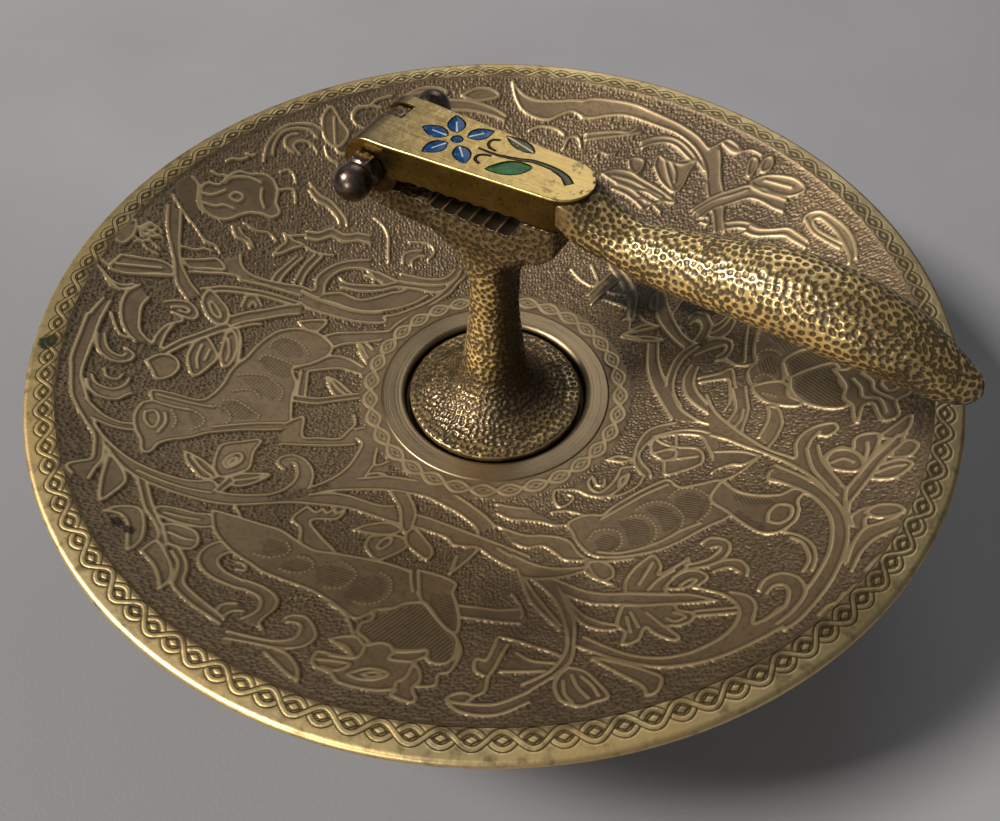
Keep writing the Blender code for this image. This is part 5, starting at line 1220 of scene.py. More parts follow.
def border_ring():
    """Ring whose section is the flat border, the rolled bead and the underside, closed on itself.

    The rope is cut as two waves along the circle with dark lines on both sides of each, and an eye in
    each opening. The cut depth falls smoothly to nothing away from those lines.
    """
    angle = np.linspace(0, 2 * pi, border_columns, endpoint=False)[None, :]
    flat_radius = np.linspace(border_inner, rim_radius - rim_bead, border_rows)
    bead_angle = np.linspace(pi / 2, -pi / 2, 9)[1:]
    bead_radius = rim_radius - rim_bead + rim_bead * np.cos(bead_angle)
    bead_height = rim_top - rim_bead + rim_bead * np.sin(bead_angle)
    radius = np.concatenate([flat_radius, bead_radius, [rim_radius - 2 * rim_bead, border_inner]])
    height = np.concatenate([np.full(border_rows, rim_top), bead_height, np.full(2, rim_top - sheet)])
    flat = (np.arange(len(radius)) < border_rows)[:, None]
    radius, height = radius[:, None], height[:, None]
    depth = np.zeros((len(radius), border_columns))
    for off in strands(radius, angle, border_rope_radius, border_rope_swing, border_turns):
        edge = np.clip(1 - ((off - cut_place) / cut_half) ** 2, 0, 1)
        depth = np.maximum(np.where(off < strand_half, 0, depth), edge)
    eye = oval(radius, angle, border_rope_radius, border_turns, border_rope_swing * 0.58, 0.34)
    depth = np.maximum(depth, np.clip(1 - ((eye - 0.8) / 0.35) ** 2, 0, 1)) * flat
    inner_step = 1 - np.clip((radius - border_inner) / 0.0006, 0, 1)
    z = height - cut_depth * depth - inner_drop * flat * inner_step
    x, y = radius * np.cos(angle), radius * np.sin(angle)
    points = np.stack([x, y, z], -1).reshape(-1, 3)
    faces = [lattice(len(radius), border_columns, wrap_rows=True, wrap_columns=True)]
    return build("dish_border", points, faces, border_brass, "stand", "dish", "dish_brass", {"cut": depth})


border_ring()

# Seat and well in the middle of the dish: a smooth spun ring, a rounded shoulder, and a sunk floor that
# the post stands on.
seat_brass, node, feed, place = new_material("spun_brass")
reach = node("VectorMath", operation='LENGTH', s0=place).outputs["Value"]
rings = node("TexNoise", noise_dimensions='1D', W=reach, Scale=2600.0, Detail=3.0)
cloud = between(node, speckle(node, place, 45.0, 4.0), 0.3, 0.7)
tone = blended(node, (0.190, 0.137, 0.078), (0.400, 0.290, 0.160), node(
    "Math", operation='MULTIPLY_ADD', s0=rings.outputs[0], s1=0.5, s2=between(
        node, cloud, 0.0, 1.0, -0.1, 0.6)).outputs[0])
# Painted shade: the well's floor and lower wall are coloured near black.
wall_low = 0.0406
wall_high = 0.0422
well_shade = between(node, reach, wall_low, wall_high, 0.95, 0.0)
feed("Base Color", blended(node, tone, (0.016, 0.012, 0.008), well_shade))
feed("Metallic", 0.95)
feed("Roughness", between(node, cloud, 0.0, 1.0, 0.30, 0.42))
feed("Normal", bump(node, rings.outputs[0], 0.6, 0.00015))


def ring_piece(name, section, columns, *settings):
    """A closed section of radius and height points, carried once round the Z axis."""
    angle = np.linspace(0, 2 * pi, columns, endpoint=False)[None, :]
    radius = section[:, 0][:, None]
    points = np.stack([radius * np.cos(angle), radius * np.sin(angle),
                       section[:, 1][:, None] + 0 * angle], -1).reshape(-1, 3)
    faces = [lattice(len(section), columns, wrap_rows=True, wrap_columns=True)]
    return build(name, points, faces, *settings)


shoulder_turn = np.linspace(pi, pi / 2, 9)
shoulder_middle = well_radius + well_shoulder
well_section = np.vstack([
    np.column_stack([np.linspace(stud_hole, well_radius - 0.0006, 6), np.full(6, well_floor)]),
    [[well_radius - 0.00018, well_floor + 0.00018], [well_radius, well_floor + 0.0006]],
    np.column_stack([shoulder_middle + well_shoulder * np.cos(shoulder_turn),
                     seat_top - well_shoulder + well_shoulder * np.sin(shoulder_turn)]),
    np.column_stack([np.linspace(shoulder_middle + 0.0008, seat_radius, 6), np.full(6, seat_top)]),
    [[seat_radius, seat_top - sheet], [shoulder_middle, seat_top - sheet],
     [well_radius + sheet, well_floor - sheet / 2], [well_radius, well_floor - sheet],
     [stud_hole, well_floor - sheet]]])
ring_piece("dish_well", well_section, 240, seat_brass, "stand", "dish", "dish_brass")

# Pedestal foot: one piece of brass sheet, spun to a trumpet and hemmed at the ring it stands on. The
# spinner's tool leaves faint rings all round it.
foot_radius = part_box("pedestal_foot")[1].x
foot_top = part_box("pedestal_foot")[1].z
foot_neck = 0.0205
foot_corner = 0.0015
foot_flare = 2.6
hem_width = 0.0030
hem_height = 0.0018

foot_brass, node, feed, place = new_material("foot_brass")
height = node("SeparateXYZ", Vector=place).outputs["Z"]
cloud = between(node, speckle(node, place, 38.0, 4.0), 0.3, 0.7)
rings = node("TexNoise", noise_dimensions='1D', W=height, Scale=3200.0, Detail=2.0).outputs[0]
gold = blended(node, (0.34, 0.235, 0.10), (0.52, 0.365, 0.16), cloud)
feed("Base Color", blended(node, gold, (0.16, 0.11, 0.05), between(node, height, 0.006, 0.0, 0.0, 0.6)))
feed("Metallic", 1.0)
feed("Roughness", between(node, rings, 0.3, 0.7, 0.26, 0.40))
feed("Normal", bump(node, rings, 0.3, 0.0001))


def beside(line, distance):
    """The line of points moved to its right-hand side by a distance, at right angles to its run."""
    run = np.gradient(line, axis=0)
    run /= np.linalg.norm(run, axis=1)[:, None]
    return line + distance * np.column_stack([run[:, 1], -run[:, 0]])


share = np.linspace(0, 0.975, 60)
corner_turn = np.linspace(pi / 2, 0, 6)
foot_line = np.vstack([
    np.column_stack([np.linspace(stud_hole, foot_neck - foot_corner, 5)[:-1], np.full(4, foot_top)]),
    np.column_stack([foot_neck - foot_corner + foot_corner * np.cos(corner_turn),
                     foot_top - foot_corner + foot_corner * np.sin(corner_turn)]),
    np.column_stack([foot_neck + (foot_radius - foot_neck) * share ** foot_flare,
                     foot_top - foot_corner - (foot_top - foot_corner - hem_height) * share])[1:]])
hem_turn = np.linspace(pi / 2, -pi / 2, 7)
hem = np.column_stack([foot_radius - hem_height / 2 + hem_height / 2 * np.cos(hem_turn),
                       hem_height / 2 + hem_height / 2 * np.sin(hem_turn)])
foot_section = np.vstack([foot_line, hem, [[foot_radius - hem_width, 0.0]], beside(foot_line, sheet)[::-1]])
ring_piece("foot_trumpet", foot_section, 120, foot_brass, "stand", "pedestal_foot", "foot_brass")

# Fastening under the foot and the hinge pin: plain turned steel, dull with age.
steel, node, feed, place = new_material("dull_steel")
cloud = between(node, speckle(node, place, 300.0, 4.0), 0.35, 0.7)
feed("Base Color", blended(node, (0.22, 0.21, 0.20), (0.46, 0.45, 0.43), cloud))
feed("Metallic", 1.0)
feed("Roughness", between(node, cloud, 0.0, 1.0, 0.48, 0.30))
feed("Normal", bump(node, speckle(node, place, 2500.0), 0.3, 0.0001))
for name in ("post_stud", "foot_washer", "spring_washer", "foot_nut", "hinge_pin"):
    frame["nodes"][name].data.materials.clear()
    frame["nodes"][name].data.materials.append(steel)

# Post: one brass casting with foot disc, column and grooved lower jaw. Its skin is peened all over with a
# round punch; the marks hold dark patina and the metal between them is rubbed bright.
hinge_x, _, hinge_z = frame["record"]["behaviour"]["joints"][0]["pos_m"]


def even_copy(node_name, side):
    """Points, normals and faces of a CAD node's merged copy, remade as even squares of the given side."""
    copy = bpy.data.objects.new(node_name + "_copy", frame["nodes"][node_name].data.copy())
    bpy.context.scene.collection.objects.link(copy)
    weld = copy.modifiers.new("weld", 'WELD')
    weld.merge_threshold = 0.000002
    squares = copy.modifiers.new("squares", 'REMESH')
    squares.mode = 'VOXEL'
    squares.voxel_size = side
    soften = copy.modifiers.new("soften", 'SMOOTH')
    soften.iterations = 2
    mesh = bpy.data.meshes.new_from_object(copy.evaluated_get(bpy.context.evaluated_depsgraph_get()))
    points = np.empty(len(mesh.vertices) * 3, np.float32)
    mesh.vertices.foreach_get("co", points)
    normals = np.empty(len(mesh.vertices) * 3, np.float32)
    mesh.vertex_normals.foreach_get("vector", normals)
    corners = np.empty(len(mesh.loops), np.int32)
    mesh.loops.foreach_get("vertex_index", corners)
    bpy.data.objects.remove(copy)
    bpy.data.meshes.remove(mesh)
    return points.reshape(-1, 3).astype(float), normals.reshape(-1, 3).astype(float), corners.reshape(-1, 4)


def punch_marks(points, pitch, seed):
    """Distance from each point to the middle of the nearest punch mark, and that mark's number.

    Space is cut into small cubes and each one that holds points starts a mark at one of them. Four times
    every mark moves to the middle of the points nearest to it, which spreads the marks out evenly.
    """
    random = np.random.default_rng(seed)
    cube = np.floor((points - points.min(axis=0)) / (1.2 * pitch)).astype(int) + 1
    shape = cube.max(axis=0) + 2
    number = np.ravel_multi_index(cube.T, shape)
    order = random.permutation(len(points))
    cubes, first = np.unique(number[order], return_index=True)
    marks = points[order[first]]
    book = np.full(shape.prod(), -1)
    near = [np.ravel_multi_index((1 + i, 1 + j, 1 + k), shape) - np.ravel_multi_index((1, 1, 1), shape)
            for i in (-1, 0, 1) for j in (-1, 0, 1) for k in (-1, 0, 1)]
    for turn in range(5):
        book[:] = -1
        book[cubes] = np.arange(len(marks))
        best = np.full(len(points), np.inf)
        owner = np.zeros(len(points), int)
        for step in near:
            mark = book[np.clip(number + step, 0, len(book) - 1)]
            away = np.where(mark >= 0, ((points - marks[mark]) ** 2).sum(axis=1), np.inf)
            closer = away < best
            best[closer] = away[closer]
            owner[closer] = mark[closer]
        if turn == 4:
            break
        held = np.bincount(owner, minlength=len(marks))
        middles = np.column_stack([np.bincount(owner, points[:, k], len(marks)) for k in range(3)])
        kept = held > 0.45 * np.median(held)
        marks = middles[kept] / held[kept, None]
        cubes = cubes[kept]
    return np.sqrt(best), owner


def peened(points, normals, pitch, radius, depth, amount, unrest, seed):
    """Points pressed inward by round punch marks, and how deep in a mark each one is, from 0 to 1.

    A mark is the hollow of a ball: its depth is its own share of the full depth times
    1 - (distance / radius) squared. The sheet of marks is first bent by slow waves, so rows wander.
    """
    wave = 2 * pi / (2.7 * pitch)
    bent = points + unrest * pitch * np.sin(wave * np.roll(points, 1, axis=1) + [0.0, 1.7, 3.1])
    away, owner = punch_marks(bent, pitch, seed)
    random = np.random.default_rng(seed + 1)
    own_radius = radius * random.uniform(0.85, 1.15, owner.max() + 1)[owner]
    own_depth = random.uniform(0.7, 1.1, owner.max() + 1)[owner]
    hollow = np.clip(1 - (away / own_radius) ** 2, 0, 1)
    return points - normals * (depth * amount * own_depth * hollow)[:, None], hollow * own_depth * amount


peened_brass, node, feed, place = new_material("peened_brass")
pit = attribute(node, "pit")
# The soil mark is real soil, and painted shade on the column's right side and the handle's underside.
soil_and_shade = attribute(node, "soil_and_shade")
cloud = between(node, speckle(node, place, 70.0, 5.0), 0.32, 0.68)
fine = between(node, speckle(node, place, 900.0, 5.0, 0.65), 0.35, 0.68)
gold = blended(node, (0.60, 0.405, 0.140), (0.90, 0.655, 0.280), fine)
dim = blended(node, (0.125, 0.082, 0.034), (0.265, 0.180, 0.080), fine)
dullness_and_shade = node("Math", operation='MULTIPLY_ADD', s0=cloud, s1=0.45, s2=soil_and_shade).outputs[0]
metal = blended(node, gold, dim, between(node, dullness_and_shade, 0.26, 1.0))
# Painted shade: past 1 the soil mark turns the metal near black, mostly on the column's right side.
metal = blended(node, metal, (0.045, 0.032, 0.016), between(node, soil_and_shade, 1.0, 1.6, 0.0, 0.85))
metal = blended(node, metal, (0.030, 0.020, 0.010), between(node, pit, 0.10, 0.42, 0.0, 0.88))
floor_tone = blended(node, (0.085, 0.058, 0.028), (0.20, 0.138, 0.066), fine)
feed("Base Color", blended(node, metal, floor_tone, between(node, pit, 0.62, 0.95, 0.0, 0.75)))
feed("Metallic", 0.55)
feed("Roughness", between(node, pit, 0.0, 0.8, 0.22, 0.40))
feed("Normal", bump(node, speckle(node, place, 1300.0, 4.0), 0.45, 0.00012))

disc_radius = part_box("post")[1].y
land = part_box("post")[0].z + 0.0776
mouth_floor = land - 0.0053
mouth_front = 0.0095
mouth_back = -0.0139
lower_pitch = 0.0039
lower_ridge = 0.00030
disc_edge_top = 0.0330
column_low = 0.036
column_high = 0.088
disc_soil_top = 0.052
disc_soil_fade = 0.008
jaw_soil_low = 0.078
jaw_soil_fade = 0.020
mouth_margin = 0.001
post_points, post_normals, post_faces = even_copy("post", 0.00038)
x, y, z = post_points.T
radius = np.hypot(x, y)
in_mouth = ((z > mouth_floor - 0.0024) & (x > mouth_back - mouth_margin) & (x < mouth_front + mouth_margin)
            & (np.abs(post_normals[:, 1]) < 0.8))
rim = np.clip((radius - disc_radius + 0.0006) / 0.0004, 0, 1) * (z < disc_edge_top)
hidden = z < well_floor + 0.0006
amount = np.where(in_mouth | hidden, 0, 1) * (1 - rim)
on_disc = np.clip((disc_soil_top - z) / disc_soil_fade, 0, 1)
post_points, pit = peened(post_points, post_normals, pitch=0.00168, radius=0.00098, depth=0.00042,
                          amount=amount, unrest=0.22, seed=11)
on_jaw = np.clip((z - jaw_soil_low) / jaw_soil_fade, 0, 1.08)
soil_and_shade = 0.72 * on_disc + on_jaw + np.where(in_mouth, 0.75, 0)
# Painted shade: the column's right half is darkened, beyond its soil, towards near black.
column_right_shade = np.clip((picture_level(x, y)[0] + 0.0005) / 0.0035, 0, 1)
soil_and_shade += 1.6 * column_right_shade * (z > column_low) * (z < column_high)
groove_place = (x - mouth_back) / lower_pitch
from_ridge = np.abs(groove_place - np.rint(groove_place)) * lower_pitch
ridge_line = np.clip(1.4 - from_ridge / lower_ridge, 0, 1) * in_mouth
soil_and_shade = np.clip(soil_and_shade - ridge_line, 0, 1.6)
pit = np.where(in_mouth, np.clip(0.8 - ridge_line, 0, 1) * 0.6, pit)
build("post_casting", post_points, [post_faces], peened_brass, "stand", "post", "post_brass",
      {"pit": pit, "soil_and_shade": soil_and_shade})

# Lever block: the front of the lever casting, filed flat and brushed lengthwise, with grooves below to
# grip the nut and a forked back that takes the tongue of the post.
lug_radius = 0.0076
block_top = hinge_z + lug_radius
block_length = 0.0550
block_half_width = 0.0104
nose_radius = 0.0079
nose_start = block_length - nose_radius
flat_length = 0.0044
block_underside = -0.0018
groove_start = 0.0095
groove_pitch = 0.0039
groove_count = 8
groove_radius = 0.0034
pin_hole = 0.0023
slot_radius = 0.0080
slot_middle = 0.0038
slot_width = 0.0060
edge_rounding = 0.00042

block_brass, node, feed, place = new_material("block_brass")
axis = node("SeparateXYZ", Vector=place)
along, level = axis.outputs["X"], axis.outputs["Z"]
brushed = speckle(node, node("Mapping", Vector=place, Scale=(70.0, 1500.0, 1500.0)).outputs[0], 1.0, 4.0)
cloud = between(node, speckle(node, place, 130.0, 5.0), 0.34, 0.68)
fine = speckle(node, place, 1100.0, 5.0, 0.6)
gold = blended(node, (0.50, 0.338, 0.118), (0.74, 0.515, 0.190), between(node, brushed, 0.36, 0.64))
grey = blended(node, (0.42, 0.300, 0.148), (0.60, 0.440, 0.225), cloud)
gold = blended(node, gold, grey, between(node, along, hinge_x + 0.016, hinge_x - 0.004, 0.0, 0.9))
side = blended(node, (0.135, 0.088, 0.020), (0.215, 0.143, 0.038), cloud)
side = blended(node, side, (0.045, 0.030, 0.012), between(node, fine, 0.56, 0.66, 0.0, 0.8))
near_end = between(node, along, hinge_x + 0.040, hinge_x + 0.055, 0.0, 0.8)
side = blended(node, side, (0.055, 0.040, 0.020), near_end)
metal = blended(node, side, gold, between(node, level, block_top - 0.00055, block_top - 0.0002))
nick = between(node, speckle(node, place, 330.0, 5.0, 0.65), 0.565, 0.60)
near_nose = between(node, along, hinge_x + 0.040, hinge_x + 0.054, 0.0, 0.95)
metal = blended(node, metal, (0.06, 0.042, 0.018),
                node("Math", operation='MULTIPLY', s0=nick, s1=near_nose).outputs[0])
# Painted shade: the grooved underside and the lowest band of the sides turn near black.
deep = between(node, level, hinge_z - 0.0008, hinge_z - 0.0021, 0.0, 0.85)
feed("Base Color", blended(node, metal, (0.050, 0.036, 0.018), deep))
feed("Metallic", 1.0)
feed("Roughness", between(node, brushed, 0.3, 0.7, 0.30, 0.42))
wavy = bump(node, speckle(node, place, 260.0, 4.0), 0.5, 0.0004)
feed("Normal", bump(node, brushed, 0.4, 0.00012, wavy))


def block_rings(across, down):
    """Rounded rectangles along the block, one to a row of points, with so many steps across and down.

    Half width: straight, then a taper, then a circle's root at the nose. Top: level, or the lug's circle
    behind the hinge. Underside: that circle, then level, less a round groove between every two ridges.
    """
    back = -lug_radius + lug_radius * (1 - np.cos(np.linspace(0, pi / 2, 26)))[1:-1]
    turn_in = sqrt(lug_radius ** 2 - block_underside ** 2)
    belly = turn_in * np.sin(np.linspace(0, pi / 2, 16))[:-1]
    straight = np.arange(turn_in, nose_start, 0.0004)
    nose = nose_start + nose_radius * np.sin(np.linspace(0, pi / 2, 22))[:-1]
    x = np.concatenate([[-lug_radius + 0.00001], back, belly, straight, nose, [block_length - 0.00001]])
    taper = np.clip((x - flat_length) / (nose_start - flat_length), 0, 1)
    half = block_half_width + (nose_radius - block_half_width) * taper
    nose_half = np.sqrt(np.clip(nose_radius ** 2 - (x - nose_start) ** 2, 0, None))
    half = np.where(x > nose_start, nose_half, half)
    circle = np.sqrt(np.clip(lug_radius ** 2 - x ** 2, 0, None))
    top = np.where(x < 0, circle, lug_radius)
    groove_number = (x - groove_start) / groove_pitch
    off = (groove_number - np.floor(groove_number) - 0.5) * groove_pitch
    scallop = np.sqrt(groove_radius ** 2 - off ** 2) - sqrt(groove_radius ** 2 - groove_pitch ** 2 / 4)
    scallop *= (groove_number > 0) & (groove_number < groove_count)
    bottom = np.where(x < turn_in, -circle, block_underside + scallop)
    round_off = np.minimum(edge_rounding, 0.8 * np.minimum(half, (top - bottom) / 2))
    turn = np.linspace(0, pi / 2, 5)
    runs = []
    for side_y, side_z, start in ((1, 1, 0), (-1, 1, 1), (-1, -1, 2), (1, -1, 3)):
        angle = start * pi / 2 + turn
        centre_y = side_y * (half - round_off)
        centre_z = np.where(side_z > 0, top - round_off, bottom + round_off)
        corner = np.stack([centre_y[:, None] + round_off[:, None] * np.cos(angle),
                           centre_z[:, None] + round_off[:, None] * np.sin(angle)], -1)
        runs.append(corner)
    pieces = []
    for n, steps in enumerate((across, down, across, down)):
        first, last = runs[n][:, -1], runs[(n + 1) % 4][:, 0]
        share = np.linspace(0, 1, steps + 1)[1:-1][None, :, None]
        pieces += [runs[n], first[:, None] + (last - first)[:, None] * share]
    section = np.concatenate(pieces, axis=1)
    return np.concatenate([np.repeat(x[:, None, None], section.shape[1], 1), section], axis=2)


def leaf_outline(base, tip, width, gap, count=28):
    """Closed pointed oval: its half width is width / 2 times sin(pi t ** 0.85) ** 0.8, plus a gap."""
    base, tip = np.array(base), np.array(tip)
    along = (tip - base) / np.linalg.norm(tip - base)
    side = np.array([-along[1], along[0]])
    t = np.linspace(0, 1, count)[:, None]
    half = (width / 2 + gap) * np.clip(np.sin(pi * t ** 0.85), 0, None) ** 0.8
    middle = base - along * gap + along * (np.linalg.norm(tip - base) + 2 * gap) * t
    return np.vstack([middle - side * half, (middle + side * half)[-2:0:-1]])


def eased(stations, values, at):
    """Cubic through the values, with the slope at each station taken from its two neighbours."""
    slope = np.gradient(values, stations, axis=0)
    k = np.clip(np.searchsorted(stations, at, side='right') - 1, 0, len(stations) - 2)
    step = (stations[k + 1] - stations[k])[:, None]
    u = (at - stations[k])[:, None] / step
    return ((2 * u ** 3 - 3 * u ** 2 + 1) * values[k] + (u ** 3 - 2 * u ** 2 + u) * step * slope[k]
            + (3 * u ** 2 - 2 * u ** 3) * values[k + 1] + (u ** 3 - u ** 2) * step * slope[k + 1])


def ribbon_edges(places, gap, count=12):
    """Right and left edge of a line that widens along its way, through the given x, y and width."""
    knots = np.array(places, float)
    line = eased(np.linspace(0, 1, len(knots)), knots, np.linspace(0, 1, count * (len(knots) - 1) + 1))
    run = np.gradient(line[:, :2], axis=0)
    run /= np.linalg.norm(run, axis=1)[:, None]
    line[0, :2] -= run[0] * gap
    line[-1, :2] += run[-1] * gap
    side = np.column_stack([-run[:, 1], run[:, 0]]) * (line[:, 2:3] / 2 + gap)
    return line[:, :2] - side, line[:, :2] + side


def on_block(along_share, across_share):
    """Place on the block's top, from shares of its length and half width."""
    return block_length * along_share, block_half_width * across_share


enamel_gap = 0.00022
enamel_depth = 0.0006
flower = np.array(on_block(0.335, 0.06))
block_width = 2 * block_half_width
petals = ((50, 0.45), (123, 0.46), (178.5, 0.475), (240, 0.45), (313, 0.46))
leaves = {"leaf_lower": (on_block(0.712, 0.02), on_block(0.545, -0.56), 0.24 * block_width),
          "leaf_upper": (on_block(0.672, 0.50), on_block(0.51, 0.74), 0.17 * block_width)}
for number, (degrees, reach) in enumerate(petals):
    ray = block_width * np.array([cos(radians(degrees)), sin(radians(degrees))])
    leaves["petal_%d" % (number + 1)] = (flower + 0.13 * ray, flower + reach * ray, 0.205 * block_width)
ribbon_shares = {
    "flower_stem": ((0.450, 0.03, 0.014), (0.512, 0.01, 0.022), (0.56, 0.03, 0.028), (0.64, 0.12, 0.040),
                    (0.70, 0.22, 0.048), (0.79, 0.21, 0.065), (0.857, 0.10, 0.085), (0.90, -0.09, 0.10)),
    "tendril_upper": ((0.520, 0.12, 0.018), (0.487, 0.17, 0.021), (0.468, 0.30, 0.022),
                      (0.473, 0.45, 0.022), (0.499, 0.52, 0.020)),
    "tendril_lower": ((0.520, -0.09, 0.018), (0.490, -0.13, 0.021), (0.472, -0.24, 0.022),
                      (0.478, -0.38, 0.022), (0.503, -0.45, 0.020))}
ribbons = {name: [(*on_block(along, across), block_width * width) for along, across, width in shares]
           for name, shares in ribbon_shares.items()}
centre_radius = 0.066 * block_width


def extruded(outlines):
    """Points and faces of closed prisms: each has an outline, a lower and an upper level, and an axis."""
    points, faces = [], []
    for outline, low, high, axis in outlines:
        start, count = len(points), len(outline)
        turned = outline[::-1] if axis == 'Z' else outline
        for level in (low, high):
            points += [(a, b, level) if axis == 'Z' else (a, level, b) for a, b in turned]
        faces.append([start + n for n in range(count)])
        faces.append([start + count + n for n in reversed(range(count))])
        faces += [[start + n, start + count + n, start + count + (n + 1) % count, start + (n + 1) % count]
                  for n in range(count)]
    return points, faces


def round_outline(x, y, radius, count):
    """Points of a circle."""
    angle = np.linspace(0, 2 * pi, count, endpoint=False)
    return np.column_stack([x + radius * np.cos(angle), y + radius * np.sin(angle)])


def put(name, mesh):
    """A new object of the mesh, in the scene."""
    made = bpy.data.objects.new(name, mesh)
    bpy.context.scene.collection.objects.link(made)
    return made


def lever_block():
    """The block with its slot, pin hole and enamel cells cut out."""
    rings = block_rings(across=44, down=18)
    rows, columns = rings.shape[:2]
    faces = [face for group in tube_faces(rows, columns) for face in group.tolist()]
    base = bpy.data.meshes.new("block_base")
    base.from_pydata((rings.reshape(-1, 3) + (hinge_x, 0, hinge_z)).tolist(), [], faces)
    low, high = lug_radius - enamel_depth, lug_radius + 0.001
    cells = [(leaf_outline(*leaf, enamel_gap), low, high, 'Z') for leaf in leaves.values()]
    for ribbon in ribbons.values():
        right, left = ribbon_edges(ribbon, enamel_gap)
        cells.append((np.vstack([right, left[::-1]]), low, high, 'Z'))
    cells.append((round_outline(*flower, centre_radius + enamel_gap, 40), low, high, 'Z'))
    slot_front, slot_back = slot_middle - slot_width / 2, slot_middle + slot_width / 2
    slot = (round_outline(0, 0, slot_radius, 72), slot_front, slot_back, 'Y')
    bore = (round_outline(0, 0, pin_hole, 32), -2 * block_half_width, 2 * block_half_width, 'Y')
    blank = put("block_blank", base)
    tools = []
    for number, shapes in enumerate((cells, [slot], [bore])):
        points, cutter_faces = extruded(shapes)
        mesh = bpy.data.meshes.new("block_cut_%d" % number)
        mesh.from_pydata((np.array(points) + (hinge_x, 0, hinge_z)).tolist(), [], cutter_faces)
        tool = put("block_cut_%d" % number, mesh)
        cut = blank.modifiers.new("cut_%d" % number, 'BOOLEAN')
        cut.operation = 'DIFFERENCE'
        cut.solver = 'EXACT'
        cut.object = tool
        cut.use_self = number == 0
        tools.append(tool)
    mesh = bpy.data.meshes.new_from_object(blank.evaluated_get(bpy.context.evaluated_depsgraph_get()))
    mesh.name = "lever_block"
    for leftover in tools + [blank]:
        bpy.data.objects.remove(leftover)
    mesh.materials.clear()
    mesh.materials.append(block_brass)
    mesh.shade_smooth()
    mesh.set_sharp_from_angle(angle=radians(40))
    block = put("lever_block", mesh)
    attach(block, "lever_arm")
    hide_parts("lever")
    return block


lever_block()

# Lever handle: the same casting behind the block, an oval club that bellies out and droops at the end.
# It is peened like the post but less deep, bright in the middle and dark near block and tip.
handle_start = nose_start
handle_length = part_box("lever")[1].x - hinge_x - handle_start
handle_half_width = 0.0103
handle_half_thickness = 0.0094
handle_dip = 0.0083
# Each station: its share of the length, then shares of the dip, half width and half thickness, and how round
# the section is.
handle_shares = np.array((
    (0.0, 0.35, 0.745, 0.46, 0.35), (0.031, 0.34, 0.74, 0.47, 0.4), (0.058, 0.14, 0.725, 0.60, 0.55),
    (0.083, -0.04, 0.70, 0.67, 0.7), (0.135, -0.30, 0.64, 0.65, 0.9), (0.187, -0.49, 0.62, 0.63, 1.0),
    (0.26, -0.51, 0.70, 0.73, 1.0), (0.343, -0.42, 0.79, 0.80, 1.0), (0.447, -0.24, 0.89, 0.90, 1.0),
    (0.55, -0.11, 0.97, 0.97, 1.0), (0.654, -0.16, 1.0, 1.0, 1.0), (0.758, -0.28, 0.93, 0.93, 1.0),
    (0.81, -0.40, 0.865, 0.86, 1.0), (0.862, -0.58, 0.77, 0.765, 1.0),
    (0.914, -0.80, 0.63, 0.65, 1.0), (0.955, -0.93, 0.485, 0.50, 1.0),
    (0.986, -0.99, 0.29, 0.32, 1.0), (1.0, -1.0, 0.0, 0.0, 1.0)))


def lever_handle():
    """Ovals along the handle, their widths and thicknesses read from shares of its own sizes.

    The squares of width and thickness are eased between stations, so the end closes as a round tip.
    """
    tip_share = 0.06
    tip_stations = 1 - (1 - np.linspace(0, 1, 40)) ** 2 * tip_share
    station = np.concatenate([np.arange(0.026, 1 - tip_share, 0.0031), tip_stations[:-1]])
    shares = handle_shares.copy()
    shares[:, 2:4] **= 2
    height, width, thickness, roundness = eased(shares[:, 0], shares[:, 1:], station).T
    width = np.sqrt(np.clip(width, 0, None)) * handle_half_width
    thickness = np.sqrt(np.clip(thickness, 0, None)) * handle_half_thickness
    angle = np.linspace(0, 2 * pi, 216, endpoint=False)
    roundness = np.clip(roundness, 0.3, 1)[:, None]
    across = np.abs(np.cos(angle)) ** roundness * np.sign(np.cos(angle)) * width[:, None]
    up = np.abs(np.sin(angle)) ** roundness * np.sign(np.sin(angle)) * thickness[:, None]
    x = hinge_x + handle_start + handle_length * station[:, None] + 0 * across
    grid = np.stack([x, across, hinge_z + handle_dip * height[:, None] + up], -1)
    normal = np.cross(np.roll(grid, -1, 1) - np.roll(grid, 1, 1), np.gradient(grid, axis=0))
    normal /= np.maximum(np.linalg.norm(normal, axis=2), 1e-12)[:, :, None]
    outward = np.sign((normal * (grid - grid.mean(axis=1, keepdims=True))).sum(axis=2, keepdims=True))
    normal *= outward
    points = grid.reshape(-1, 3)
    share = np.repeat(station, len(angle))
    amount = np.clip((share - 0.03) / 0.05, 0.25, 1)
    unrest = (0.06 + 0.2 * np.clip((share - 0.55) / 0.3, 0, 1))[:, None]
    points, pit = peened(points, normal.reshape(-1, 3), pitch=0.00164, radius=0.00092, depth=0.00029,
                         amount=amount, unrest=unrest, seed=23)
    tip = np.array([[hinge_x + handle_start + handle_length, 0, hinge_z - handle_dip]])
    soil_and_shade = 0.85 - np.clip((share - 0.03) / 0.14, 0, 1) * 0.70 + np.clip((share - 0.50) / 0.35, 0, 1) * 0.38
    # Painted shade: the handle's underside is a little darker.
    handle_underside_shade = np.clip(-np.sin(np.tile(angle, len(station))), 0, 1)
    soil_and_shade = np.clip(soil_and_shade + 0.1 * handle_underside_shade, 0, 1)
    marks = {"pit": np.append(pit, 0.4), "soil_and_shade": np.append(soil_and_shade, 0.9)}
    return build("lever_handle", np.vstack([points, tip]), tube_faces(*grid.shape[:2], pointed=True),
                 peened_brass, "lever_arm", "lever", "lever_brass", marks)


lever_handle()
